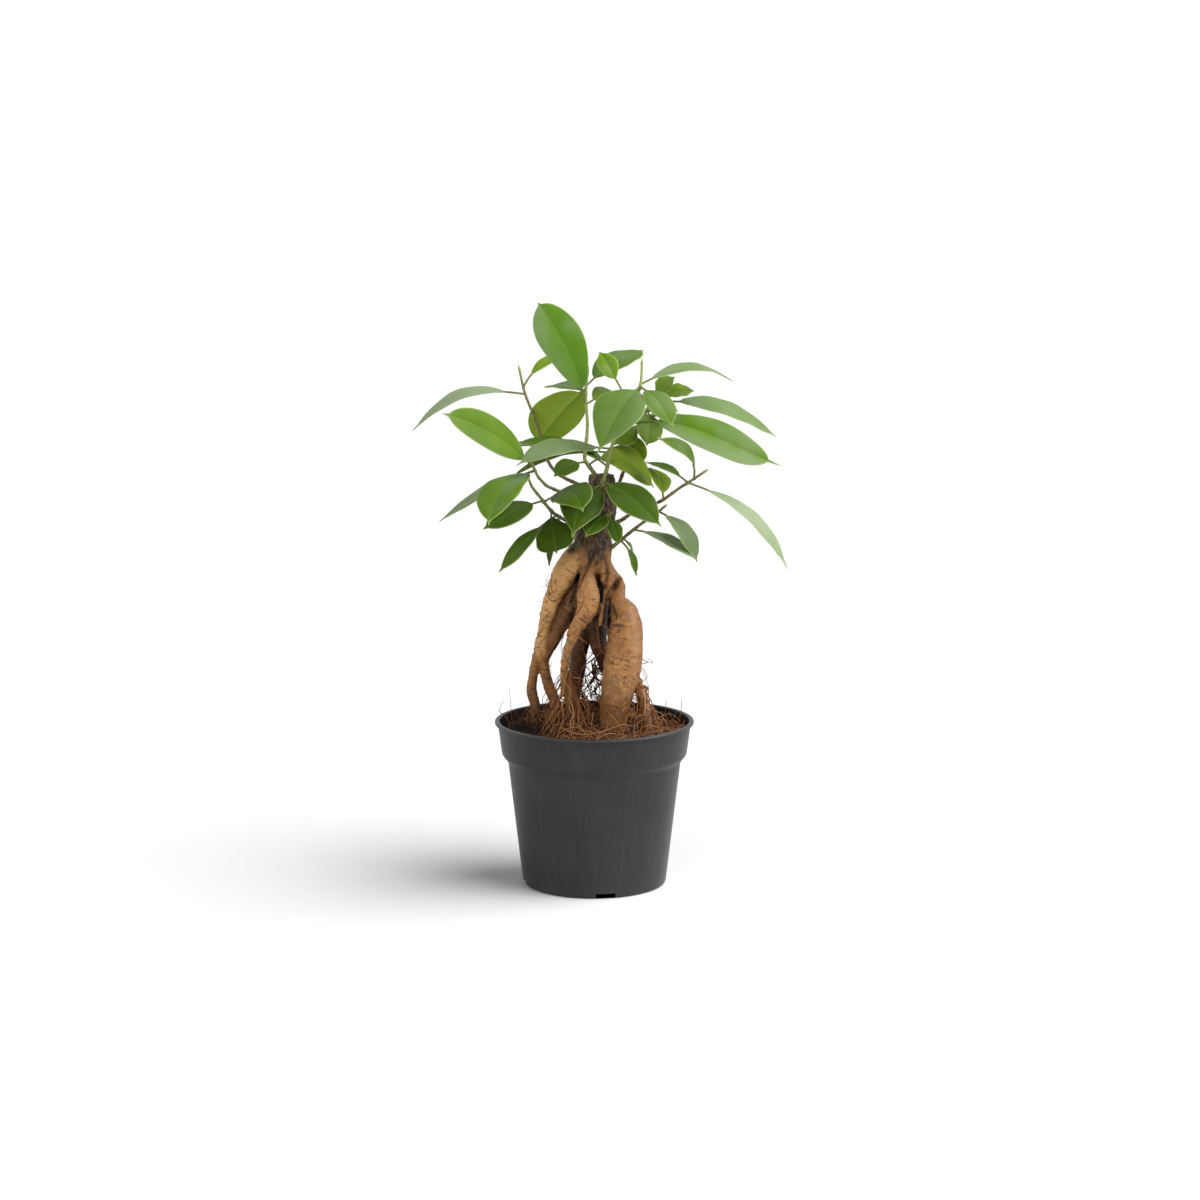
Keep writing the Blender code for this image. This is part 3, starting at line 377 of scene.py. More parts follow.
class Shape:
    """Points in millimetres, faces, a material number for each face and named values for each point."""

    def __init__(self):
        self.points, self.faces, self.slots, self.values = [], [], [], {}
        self.count = 0

    def add(self, points, faces, slot=0, **values):
        """Add a body. A value is one number or tuple for the whole body, or one for each point."""
        points = np.asarray(points, float)
        self.points.append(points)
        self.faces += [tuple(corner + self.count for corner in face) for face in faces]
        self.slots += [slot] * len(faces)
        for key, value in values.items():
            value = np.asarray(value, float)
            if value.ndim < 2 and value.shape[:1] != (len(points),):
                value = np.broadcast_to(value, (len(points), *value.shape))
            self.values.setdefault(key, []).append(value)
        self.count += len(points)

    def build(self, name, materials, smooth=True):
        """Make the object."""
        mesh = bpy.data.meshes.new(name)
        points = np.concatenate(self.points) * MM
        mesh.from_pydata(points.tolist(), [], self.faces)
        for surface in materials:
            mesh.materials.append(surface)
        mesh.polygons.foreach_set("material_index", np.array(self.slots, np.int32))
        for key, parts in self.values.items():
            value = np.concatenate(parts).astype(np.float32)
            kind, field = ("FLOAT_VECTOR", "vector") if value.ndim == 2 else ("FLOAT", "value")
            mesh.attributes.new(key, kind, "POINT").data.foreach_set(field, value.ravel())
        if smooth:
            mesh.shade_smooth()
        mesh.update()
        made = bpy.data.objects.new(name, mesh)
        bpy.context.scene.collection.objects.link(made)
        return made


def tube(places, radii, sides, shape_ring=None):
    """Points and faces of a closed tube round the places, turned no more than its bends need."""
    directions = []
    for index in range(len(places)):
        ahead = places[min(index + 1, len(places) - 1)]
        behind = places[max(index - 1, 0)]
        directions.append((ahead - behind).normalized())
    side = directions[0].orthogonal().normalized()
    points = []
    for index, (place, direction) in enumerate(zip(places, directions)):
        if index:
            side = directions[index - 1].rotation_difference(direction) @ side
        for corner in range(sides):
            turn = Quaternion(direction, math.tau * corner / sides)
            wide = shape_ring(index, corner) if shape_ring else 1.0
            points.append(place + turn @ side * radii[index] * wide)
    faces = []
    for ring in range(len(places) - 1):
        for corner in range(sides):
            following = (corner + 1) % sides
            low, high = ring * sides, (ring + 1) * sides
            faces.append((low + corner, low + following, high + following, high + corner))
    faces.append(tuple(reversed(range(sides))))
    faces.append(tuple(range((len(places) - 1) * sides, len(places) * sides)))
    return points, faces


def strands(lines, radii, sides, draw):
    """Points and faces of many thin closed tubes. lines is strand by point by 3, radii strand by point."""
    count, length = lines.shape[:2]
    ahead = np.gradient(lines, axis=1)
    ahead /= np.maximum(np.linalg.norm(ahead, axis=2, keepdims=True), 1e-9)
    reference = draw.normal(size=(count, 1, 3))
    middle = ahead.mean(axis=1, keepdims=True)
    middle /= np.maximum(np.linalg.norm(middle, axis=2, keepdims=True), 1e-9)
    reference = np.cross(middle, reference)
    across = reference - ahead * (reference * ahead).sum(axis=2, keepdims=True)
    across /= np.maximum(np.linalg.norm(across, axis=2, keepdims=True), 1e-9)
    other = np.cross(ahead, across)
    turn = np.arange(sides) * math.tau / sides
    ring = (across[:, :, None] * np.cos(turn)[None, None, :, None]
            + other[:, :, None] * np.sin(turn)[None, None, :, None])
    points = (lines[:, :, None] + ring * radii[:, :, None, None]).reshape(-1, 3)
    start = (np.arange(count) * length * sides)[:, None, None]
    low = start + (np.arange(length - 1) * sides)[None, :, None]
    corner = np.arange(sides)[None, None, :]
    following = (corner + 1) % sides
    quads = np.stack([low + corner, low + following, low + sides + following, low + sides + corner], axis=-1)
    faces = [tuple(face) for face in quads.reshape(-1, 4).tolist()]
    first = (start[:, 0] + np.arange(sides)[None, ::-1]).tolist()
    last = (start[:, 0] + (length - 1) * sides + np.arange(sides)[None, :]).tolist()
    faces += [tuple(face) for face in first] + [tuple(face) for face in last]
    return points, faces


def apply_modifiers(made):
    """Replace the object's mesh by what its modifiers make of it."""
    bpy.context.view_layer.update()
    evaluated = made.evaluated_get(bpy.context.evaluated_depsgraph_get())
    result = bpy.data.meshes.new_from_object(evaluated)
    made.modifiers.clear()
    made.data = result
    result.name = made.name


def hand_over(made, slot, *nodes):
    """A finished piece rides on the plant's one body and takes its nodes' place. Its slot is not used."""
    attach(made, "root")
    if nodes:
        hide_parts(*nodes)
    return made


# Node trees

def new_material(name):
    """A material with its node tree and its Principled shader."""
    made = bpy.data.materials.new(name)
    made.use_nodes = True
    return made, made.node_tree, made.node_tree.nodes["Principled BSDF"]


def add(tree, kind, settings=None, **inputs):
    """A node, its settings, and its inputs by name: a socket is linked and anything else is set."""
    node = tree.nodes.new("ShaderNode" + kind)
    for key, value in (settings or {}).items():
        setattr(node, key, value)
    for key, value in inputs.items():
        connect(tree, node.inputs[key.replace("_", " ")], value)
    return node


def connect(tree, socket, value):
    """Link a socket to another, or set it."""
    if isinstance(value, bpy.types.NodeSocket):
        tree.links.new(value, socket)
    else:
        socket.default_value = value


def calc(tree, operation, *values):
    """A Math node's result."""
    node = add(tree, "Math", {"operation": operation})
    for socket, value in zip(node.inputs, values):
        connect(tree, socket, value)
    return node.outputs[0]


def blended(tree, factor, first, second, blend="MIX"):
    """Two colours mixed."""
    node = add(tree, "Mix", {"data_type": "RGBA", "blend_type": blend})
    connect(tree, node.inputs[0], factor)
    connect(tree, node.inputs[6], first if isinstance(first, bpy.types.NodeSocket) else (*first, 1))
    connect(tree, node.inputs[7], second if isinstance(second, bpy.types.NodeSocket) else (*second, 1))
    return node.outputs[2]


def ranged(tree, value, low, high, start=0.0, end=1.0):
    """A value mapped smoothly from low..high to start..end and held there."""
    node = add(tree, "MapRange", {"interpolation_type": "SMOOTHSTEP"}, Value=value)
    node.inputs["From Min"].default_value = low
    node.inputs["From Max"].default_value = high
    node.inputs["To Min"].default_value = start
    node.inputs["To Max"].default_value = end
    return node.outputs[0]


def grain(tree, place, scale, detail=3.0, roughness=0.5, distortion=0.0):
    """Noise between about 0 and 1; scale is in waves a metre."""
    node = add(tree, "TexNoise", Vector=place, Scale=scale, Detail=detail, Roughness=roughness)
    node.inputs["Distortion"].default_value = distortion
    return node.outputs[0]


def stretched(tree, place, x, y, z):
    """A place scaled along each axis."""
    node = add(tree, "VectorMath", {"operation": "MULTIPLY"})
    connect(tree, node.inputs[0], place)
    node.inputs[1].default_value = (x, y, z)
    return node.outputs[0]


def named(tree, name):
    """The value that a mesh keeps under a name, as vector and as number."""
    node = add(tree, "Attribute", {"attribute_name": name, "attribute_type": "GEOMETRY"})
    return node.outputs["Vector"], node.outputs["Fac"]


def raised(tree, shader, height, distance, strength=1.0):
    """Bump on a shader from a height between 0 and 1; distance is in millimetres."""
    node = add(tree, "Bump", Height=height)
    node.inputs["Strength"].default_value = strength
    node.inputs["Distance"].default_value = distance * MM
    tree.links.new(node.outputs[0], shader.inputs["Normal"])


def plastic_material(name, shine, dirt_and_shade, edge=0.0):
    """Charcoal satin plastic with faint flow lines, fine scratches, a little dust near the foot, painted shade in the
    cavity below the floor, and a darkening that is painted shade on the inside wall and makes the lip's top darker.
    """
    made, tree, shader = new_material(name)
    place = add(tree, "TexCoord").outputs["Object"]
    streaks = grain(tree, stretched(tree, place, 1, 1, 0.05), 420, 4, 0.6)
    cloud = grain(tree, place, 26, 3, 0.55)
    specks = grain(tree, place, 900, 2, 0.5)
    height = add(tree, "SeparateXYZ", Vector=place).outputs["Z"]
    color = blended(tree, ranged(tree, cloud, 0.3, 0.7), (0.018, 0.018, 0.018), (0.026, 0.026, 0.026))
    color = blended(tree, ranged(tree, streaks, 0.45, 0.75, 0, 0.35), color, (0.055, 0.055, 0.056))
    dust = calc(tree, "MULTIPLY", ranged(tree, height, 0.012, 0.0, 0, 0.25), cloud)
    color = blended(tree, dust, color, (0.12, 0.10, 0.085))
    color = blended(tree, ranged(tree, specks, 0.74, 0.80, 0, 0.35), color, (0.14, 0.12, 0.10))
    # painted shade in the cavity below the floor, seen through the foot slots
    out = add(tree, "VectorMath", {"operation": "LENGTH"})
    connect(tree, out.inputs[0], stretched(tree, place, 1, 1, 0))
    painted_cavity_shade = calc(tree, "MULTIPLY", ranged(tree, out.outputs["Value"], 0.0425, 0.0405),
                  ranged(tree, height, 0.0052, 0.0046))
    color = blended(tree, painted_cavity_shade, color, (0.002, 0.002, 0.002))
    # painted shade on the inside wall, and a darker top on the lip
    color = blended(tree, dirt_and_shade, color, (0.004, 0.003, 0.002))
    connect(tree, shader.inputs["Base Color"], color)
    rough = calc(tree, "MULTIPLY_ADD", streaks, 0.10, 0.32)
    connect(tree, shader.inputs["Roughness"], calc(tree, "MULTIPLY_ADD", cloud, 0.08, rough))
    shader.inputs["Specular IOR Level"].default_value = shine
    shader.inputs["Sheen Weight"].default_value = edge
    shader.inputs["Sheen Roughness"].default_value = 0.35
    fine = calc(tree, "ADD", grain(tree, place, 2600, 2, 0.6), calc(tree, "MULTIPLY", streaks, 0.5))
    raised(tree, shader, fine, 0.03, 0.5)
    return made


def in_painted_soil_shade(tree, place):
    """1 where the soil gets painted shade by the left wall, falling to 0 around it."""
    away = add(tree, "VectorMath", {"operation": "DISTANCE"})
    connect(tree, away.inputs[0], stretched(tree, place, 1, 1, 0))
    away.inputs[1].default_value = (PAINTED_SOIL_SHADE[0] * MM, PAINTED_SOIL_SHADE[1] * MM, 0)
    return ranged(tree, away.outputs["Value"], PAINTED_SOIL_SHADE_REACH * MM, PAINTED_SOIL_SHADE_REACH * MM * 0.72, 0, 0.98)


def soil_material():
    """Damp coir: dark red-brown, paler on the raised crumbs."""
    made, tree, shader = new_material("coir_soil")
    place = add(tree, "TexCoord").outputs["Object"]
    crumbs = grain(tree, place, 420, 6, 0.65)
    patches = grain(tree, place, 70, 3, 0.5)
    color = blended(tree, ranged(tree, crumbs, 0.35, 0.68), (0.010, 0.005, 0.003), (0.085, 0.035, 0.015))
    color = blended(tree, ranged(tree, patches, 0.35, 0.65, 0, 0.6), color, (0.060, 0.028, 0.014))
    # painted shade on the soil by the left wall
    color = blended(tree, in_painted_soil_shade(tree, place), color, (0.004, 0.003, 0.002))
    connect(tree, shader.inputs["Base Color"], color)
    shader.inputs["Roughness"].default_value = 0.92
    shader.inputs["Specular IOR Level"].default_value = 0.25
    raised(tree, shader, crumbs, 0.9, 0.9)
    return made


def fibre_material(name, dark, middle, pale):
    """Fibres: each strand keeps its own tint, from dark over middle to pale."""
    made, tree, shader = new_material(name)
    place = add(tree, "TexCoord").outputs["Object"]
    tint = named(tree, "tint")[1]
    spots = grain(tree, place, 650, 3, 0.6)
    value = calc(tree, "ADD", tint, calc(tree, "MULTIPLY_ADD", spots, 0.5, -0.25))
    color = blended(tree, ranged(tree, value, 0.0, 0.5), dark, middle)
    color = blended(tree, ranged(tree, value, 0.5, 1.0), color, pale)
    if name.startswith("coir"):
        # painted shade on the fibres by the left wall
        color = blended(tree, calc(tree, "MULTIPLY", in_painted_soil_shade(tree, place), 0.95), color, (0.006, 0.004, 0.003))
    connect(tree, shader.inputs["Base Color"], color)
    shader.inputs["Roughness"].default_value = 0.8
    shader.inputs["Specular IOR Level"].default_value = 0.3
    raised(tree, shader, spots, 0.12, 0.6)
    return made


def bark_material():
    """Root bark: tan skin with short cross cracks and pale lenticels, dark and rough at the neck, darker towards the
    soil, with painted shade in its hollows, where it shuts itself in and on the shaded roots, and painted light on
    the lit roots.
    """
    made, tree, shader = new_material("root_bark")
    place = add(tree, "TexCoord").outputs["Object"]
    along_around, _ = named(tree, "bark_at")
    hollow = named(tree, "hollow")[1]
    neck = named(tree, "neck")[1]
    shade = named(tree, "shade")[1]
    closed = named(tree, "closed")[1]
    cloud = grain(tree, place, 55, 4, 0.55)
    mottle = grain(tree, place, 260, 5, 0.6)
    fibre = grain(tree, stretched(tree, along_around, 0.16, 1.3, 1), 1.0, 4, 0.6)
    height = add(tree, "SeparateXYZ", Vector=place).outputs["Z"]
    color = blended(tree, ranged(tree, cloud, 0.3, 0.7), (0.42, 0.175, 0.048), (0.62, 0.305, 0.100))
    color = blended(tree, ranged(tree, mottle, 0.36, 0.62, 0, 0.60), color, (0.27, 0.115, 0.038))
    color = blended(tree, ranged(tree, mottle, 0.58, 0.72, 0, 0.6), color, (0.76, 0.52, 0.28))
    color = blended(tree, ranged(tree, fibre, 0.50, 0.68, 0, 0.60), color, (0.19, 0.08, 0.028))
    # painted light: roots whose shade is below 0 turn paler and golden
    color = blended(tree, calc(tree, "MULTIPLY", shade, -1.0), color, (0.97, 0.57, 0.21))
    # short thin cracks across each root, and pale lenticels between them
    dashes = grain(tree, stretched(tree, along_around, 0.75, 0.11, 1), 1.0, 3.0, 0.6, 0.5)
    crack = ranged(tree, dashes, 0.56, 0.66)
    crack = calc(tree, "MULTIPLY", crack, ranged(tree, grain(tree, along_around, 0.13, 2, 0.5), 0.38, 0.54))
    crack = calc(tree, "MULTIPLY", crack, calc(tree, "SUBTRACT", 1.0, neck))
    pores = ranged(tree, grain(tree, stretched(tree, along_around, 1.1, 0.5, 3), 1.0, 1.0, 0.5), 0.66, 0.74)
    color = blended(tree, calc(tree, "MULTIPLY", pores, 0.55), color, (0.84, 0.56, 0.30))
    color = blended(tree, calc(tree, "MULTIPLY", crack, 0.88), color, (0.085, 0.030, 0.010))
    # painted shade on the shaded roots
    color = blended(tree, calc(tree, "MULTIPLY", shade, 0.95), color, (0.080, 0.029, 0.011))
    # the neck's old bark
    fissure = grain(tree, stretched(tree, place, 1, 1, 0.28), 620, 6, 0.7, 0.6)
    old = blended(tree, ranged(tree, fissure, 0.42, 0.62), (0.016, 0.007, 0.003), (0.22, 0.125, 0.046))
    color = blended(tree, neck, color, old)
    # painted shade in the hollows and where the trunk shuts itself in, and darker towards the soil
    dirt_and_shade = calc(tree, "ADD", hollow, calc(tree, "MULTIPLY", ranged(tree, height, 0.140, 0.096), 0.62))
    dirt_and_shade = calc(tree, "MULTIPLY", dirt_and_shade, ranged(tree, mottle, 0.25, 0.6, 0.6, 1.0))
    color = blended(tree, calc(tree, "MINIMUM", dirt_and_shade, 0.9), color, (0.060, 0.024, 0.010))
    color = blended(tree, ranged(tree, closed, 0.22, 0.68, 0, 0.97), color, (0.018, 0.007, 0.003))
    connect(tree, shader.inputs["Base Color"], color)
    connect(tree, shader.inputs["Roughness"], calc(tree, "MULTIPLY_ADD", mottle, 0.25, 0.34))
    shader.inputs["Specular IOR Level"].default_value = 0.5
    relief = calc(tree, "MULTIPLY_ADD", crack, -0.8, calc(tree, "MULTIPLY", mottle, 0.6))
    relief = calc(tree, "MULTIPLY_ADD", fibre, 0.35, relief)
    relief = calc(tree, "MULTIPLY_ADD", calc(tree, "MULTIPLY", fissure, neck), 1.6, relief)
    raised(tree, shader, relief, 0.45, 0.9)
    return made


def twig_material():
    """Twig bark: grey-brown, turning green towards the bud."""
    made, tree, shader = new_material("twig_bark")
    place = add(tree, "TexCoord").outputs["Object"]
    young = named(tree, "young")[1]
    spots = grain(tree, place, 900, 4, 0.6)
    color = blended(tree, ranged(tree, spots, 0.35, 0.68), (0.115, 0.080, 0.032), (0.33, 0.26, 0.115))
    color = blended(tree, ranged(tree, young, 0.35, 1.0, 0, 0.85), color, (0.36, 0.42, 0.12))
    connect(tree, shader.inputs["Base Color"], color)
    shader.inputs["Roughness"].default_value = 0.6
    raised(tree, shader, spots, 0.2, 0.7)
    return made


def leaf_material():
    """A fig leaf: waxy green above with pale painted sheen, paler below, with midrib, side veins and a thin pale
    margin.
    """
    made, tree, shader = new_material("foliage")
    place = add(tree, "TexCoord").outputs["Object"]
    at, _ = named(tree, "leaf_at")
    parts = add(tree, "SeparateXYZ", Vector=at)
    along, across, rim = parts.outputs
    look = add(tree, "SeparateXYZ", Vector=named(tree, "leaf_look")[0])
    bright, yellow, under = look.outputs
    stalk = named(tree, "stalk")[1]
    cloud = grain(tree, place, 75, 3, 0.5)
    fine = grain(tree, place, 1400, 3, 0.6)
    # bright is partly the leaf's own tone and partly painted light and shade
    color = blended(tree, bright, (0.018, 0.062, 0.003), (0.135, 0.345, 0.012))
    color = blended(tree, calc(tree, "MULTIPLY", yellow, 0.6), color, (0.40, 0.42, 0.014))
    color = blended(tree, ranged(tree, cloud, 0.35, 0.70, 0, 0.40), color,
                    blended(tree, bright, (0.014, 0.052, 0.003), (0.095, 0.255, 0.007)))
    # side veins run off the midrib at a slant
    slant = calc(tree, "MULTIPLY_ADD", across, -0.62, along)
    wave = calc(tree, "PINGPONG", calc(tree, "MULTIPLY", slant, 0.36), 0.5)
    vein = ranged(tree, wave, 0.05, 0.0)
    vein = calc(tree, "MULTIPLY", vein, ranged(tree, rim, 0.4, 2.5))
    color = blended(tree, calc(tree, "MULTIPLY", vein, 0.13), color, (0.30, 0.42, 0.12))
    rib = ranged(tree, across, 0.62, 0.18)
    margin = ranged(tree, rim, 0.80, 0.35)
    paler = blended(tree, bright, (0.10, 0.165, 0.040), (0.27, 0.40, 0.09))
    paler = blended(tree, calc(tree, "MULTIPLY", yellow, 0.9), paler, (0.50, 0.68, 0.08))
    color = blended(tree, calc(tree, "MULTIPLY", under, 0.8), color, paler)
    color = blended(tree, calc(tree, "MULTIPLY", rib, 0.30), color, (0.24, 0.36, 0.07))
    color = blended(tree, calc(tree, "MULTIPLY", margin, 0.70), color, (0.50, 0.62, 0.22))
    # painted sheen: pale grey-green patches, more on bright leaves and on one half, less below
    patches = ranged(tree, grain(tree, place, 38, 2, 0.5), 0.42, 0.72, 0, 0.3)
    sheen_paint = calc(tree, "MULTIPLY_ADD", patches, bright, named(tree, "wax")[1])
    sheen_paint = calc(tree, "MULTIPLY_ADD", under, -0.6, sheen_paint)
    sheen_paint = calc(tree, "MAXIMUM", sheen_paint, 0.0)
    color = blended(tree, sheen_paint, color, (0.54, 0.62, 0.42))
    color = blended(tree, calc(tree, "MULTIPLY", stalk, 0.9), color, (0.24, 0.27, 0.09))
    connect(tree, shader.inputs["Base Color"], color)
    rough = calc(tree, "MULTIPLY_ADD", cloud, 0.16, 0.34)
    connect(tree, shader.inputs["Roughness"], calc(tree, "MULTIPLY_ADD", under, 0.22, rough))
    shader.inputs["Specular IOR Level"].default_value = 0.15
    relief = calc(tree, "MULTIPLY_ADD", vein, -0.2, calc(tree, "MULTIPLY", fine, 0.25))
    raised(tree, shader, relief, 0.12, 0.5)
    glow = add(tree, "BsdfTranslucent")
    shine = blended(tree, bright, (0.09, 0.22, 0.008), (0.42, 0.66, 0.035))
    connect(tree, glow.inputs["Color"], blended(tree, yellow, shine, (0.62, 0.86, 0.04)))
    mixer = add(tree, "MixShader")
    mixer.inputs[0].default_value = 0.28
    tree.links.new(shader.outputs[0], mixer.inputs[1])
    tree.links.new(glow.outputs[0], mixer.inputs[2])
    tree.links.new(mixer.outputs[0], tree.nodes["Material Output"].inputs["Surface"])
    return made


# Pot

def wall_radius(height, inset):
    """The pot's radius at a height, measured to its outside less an inset."""
    if height >= COLLAR_FOOT:
        share = (height - COLLAR_FOOT) / (POT_HEIGHT - COLLAR_FOOT)
        return COLLAR_FOOT_RADIUS + (COLLAR_TOP_RADIUS - COLLAR_FOOT_RADIUS) * share - inset
    if height >= BODY_TOP:
        share = (height - BODY_TOP) / (COLLAR_FOOT - BODY_TOP)
        return BODY_TOP_RADIUS + (COLLAR_FOOT_RADIUS - BODY_TOP_RADIUS) * share - inset
    return BASE_RADIUS + (BODY_TOP_RADIUS - BASE_RADIUS) * height / BODY_TOP - inset


def rounded(corners, steps=5):
    """A profile whose corners (radius, height, rounding) are eased by arcs."""
    profile = []
    for index, (radius, height, rounding) in enumerate(corners):
        corner = Vector((radius, height))
        if not rounding or index in (0, len(corners) - 1):
            profile.append(corner)
            continue
        before = Vector(corners[index - 1][:2]) - corner
        after = Vector(corners[index + 1][:2]) - corner
        reach = min(rounding, before.length * 0.48, after.length * 0.48)
        start, end = corner + before.normalized() * reach, corner + after.normalized() * reach
        for step in range(steps + 1):
            share = step / steps
            profile.append(start * (1 - share) ** 2 + corner * 2 * share * (1 - share) + end * share ** 2)
    return profile


def turned(profile, sides, uneven=0.0):
    """Points and faces of a profile of (radius, height) turned round Z, from one point on Z to another."""
    points, rings = [], []
    for radius, height in profile:
        start = len(points)
        if radius < 1e-6:
            rings.append([start])
            points.append((0, 0, height))
            continue
        rings.append(list(range(start, start + sides)))
        for side in range(sides):
            turn = math.tau * side / sides
            swell = uneven * math.sin(2 * turn + 0.7) * height / POT_HEIGHT
            wide = radius + swell
            points.append((wide * math.cos(turn), wide * math.sin(turn), height))
    faces = []
    for upper, lower in zip(rings, rings[1:]):
        for side in range(sides):
            following = (side + 1) % sides
            if len(upper) == 1:
                faces.append((upper[0], lower[side], lower[following]))
            elif len(lower) == 1:
                faces.append((upper[side], lower[0], upper[following]))
            else:
                faces.append((upper[side], lower[side], lower[following], upper[following]))
    return points, faces


def make_pot(surface, inside, top):
    """The pot as one smooth turned body with its foot slots and drain holes cut out."""
    lip_foot = POT_HEIGHT - LIP_HEIGHT
    corners = [
        (0, FLOOR_TOP, 0),
        (wall_radius(FLOOR_TOP, WALL), FLOOR_TOP, 2.0),
        (wall_radius(BODY_TOP, WALL), BODY_TOP + 0.5, 2.0),
        (wall_radius(COLLAR_FOOT, WALL), COLLAR_FOOT + 0.5, 2.0),
        (wall_radius(POT_HEIGHT, WALL), POT_HEIGHT - 0.4, 0.7),
        (wall_radius(POT_HEIGHT, WALL) + 0.4, POT_HEIGHT, 0.5),
        (LIP_RADIUS, POT_HEIGHT, 0.9),
        (LIP_RADIUS, lip_foot, 0.8),
        (wall_radius(lip_foot, 0), lip_foot, 0.8),
        (wall_radius(COLLAR_FOOT, 0), COLLAR_FOOT, 1.8),
        (wall_radius(BODY_TOP, 0), BODY_TOP, 2.0),
        (BASE_RADIUS + 0.1, 0.9, 1.4),
        (BASE_RADIUS - 1.4, 0, 0.8),
        (FOOT_INNER_RADIUS, 0, 0.4),
        (FOOT_INNER_RADIUS - 0.5, FLOOR_UNDERSIDE, 0.8),
        (0, FLOOR_UNDERSIDE, 0),
    ]
    shape = Shape()
    shape.add(*turned(rounded(corners), POT_SIDES, 0.15))
    pot = shape.build("pot_shell", [surface, inside, top])
    cutter = Shape()
    for slot in range(SLOTS):
        turn = SLOT_TURN - math.pi / 2 + math.tau * slot / SLOTS
        outward = Vector((math.cos(turn), math.sin(turn), 0))
        sideways = Vector((-math.sin(turn), math.cos(turn), 0)) * SLOT_WIDTH / 2
        inner, outer = outward * (FOOT_INNER_RADIUS - 4), outward * (BASE_RADIUS + 4)
        points = [end + side + UP * level for level in (-3.0, SLOT_HEIGHT) for end in (inner, outer)
                  for side in (-sideways, sideways)]
        cutter.add(points, [(0, 1, 3, 2), (4, 6, 7, 5), (0, 2, 6, 4), (1, 5, 7, 3), (0, 4, 5, 1), (2, 3, 7, 6)])
    drains = [(0.0, 0.0)]
    for drain in range(DRAINS):
        turn = SLOT_TURN + math.tau * (drain + 0.5) / DRAINS
        drains.append((DRAIN_RING * math.cos(turn), DRAIN_RING * math.sin(turn)))
    for x, y in drains:
        ends = [Vector((x, y, FLOOR_UNDERSIDE - 2)), Vector((x, y, FLOOR_TOP + 2))]
        cutter.add(*tube(ends, [DRAIN_RADIUS, DRAIN_RADIUS], 32))
    cut = cutter.build("pot_cutter", [surface], smooth=False)
    modifier = pot.modifiers.new("cut", "BOOLEAN")
    modifier.operation = "DIFFERENCE"
    modifier.object = cut
    apply_modifiers(pot)
    bpy.data.objects.remove(cut, do_unlink=True)
    for face in pot.data.polygons:
        x, y, z = face.center / MM
        if z > BODY_TOP and math.hypot(x, y) < wall_radius(z, WALL) + 0.2:
            face.material_index = 1
        elif z > POT_HEIGHT - 0.25:
            face.material_index = 2
    pot.data.shade_smooth()
    pot.data.set_sharp_from_angle(angle=math.radians(40))
    return hand_over(pot, "pot_plastic", "pot")


# Soil

def soil_level(x, y):
    """The soil's level: heaped in the middle, hollow at one place by the wall."""
    out = np.hypot(x, y)
    heap = (SOIL_HEAP - SOIL_EDGE) * np.exp(-(out / SOIL_HEAP_REACH) ** 2)
    away = np.hypot(x - SOIL_HOLLOW[0], y - SOIL_HOLLOW[1])
    return SOIL_EDGE + heap - SOIL_HOLLOW_DEPTH * np.exp(-(away / SOIL_HOLLOW_REACH) ** 2)


def soil_crumb(x, y):
    """The roughness on the soil's level, in millimetres."""
    place = Vector((x, y, 3.0))
    lumps = noise.fractal(place / 6.5, 1.0, 2.0, 3) * 1.1
    crumbs = noise.noise(place / 1.6) * 0.55 + noise.noise(place / 0.8) * 0.25
    return lumps + crumbs


def make_soil(surface):
    """The soil as a closed body with a crumbly top."""
    points = [(0, 0, FLOOR_TOP + 0.3)]
    walls = [(wall_radius(FLOOR_TOP, WALL) - 1.6, FLOOR_TOP + 0.3),
             (wall_radius(BODY_TOP, WALL) - 0.6, BODY_TOP), (wall_radius(COLLAR_FOOT, WALL) - 0.5, COLLAR_FOOT + 1)]
    rings = len(walls) + SOIL_RINGS
    for ring in range(rings):
        for side in range(SOIL_SIDES):
            turn = math.tau * side / SOIL_SIDES
            if ring < len(walls):
                radius, height = walls[ring]
            else:
                radius = SOIL_RADIUS * (1 - (ring - len(walls)) / SOIL_RINGS)
                x, y = radius * math.cos(turn), radius * math.sin(turn)
                height = float(soil_level(x, y)) + soil_crumb(x, y)
            points.append((radius * math.cos(turn), radius * math.sin(turn), height))
    points.append((0, 0, SOIL_HEAP))
    faces = []
    last = len(points) - 1
    for side in range(SOIL_SIDES):
        following = (side + 1) % SOIL_SIDES
        faces.append((0, 1 + following, 1 + side))
        for ring in range(rings - 1):
            low, high = 1 + ring * SOIL_SIDES, 1 + (ring + 1) * SOIL_SIDES
            faces.append((low + side, low + following, high + following, high + side))
        high = 1 + (rings - 1) * SOIL_SIDES
        faces.append((high + side, high + following, last))
    shape = Shape()
    shape.add(points, faces)
    return hand_over(shape.build("soil_bed", [surface]), "coir_soil", "soil")


def ball(level):
    """Unit points and triangles of an icosphere."""
    shape = bmesh.new()
    bmesh.ops.create_icosphere(shape, subdivisions=level, radius=1.0)
    points = np.array([corner.co for corner in shape.verts])
    faces = [tuple(corner.index for corner in face.verts) for face in shape.faces]
    shape.free()
    return points, faces


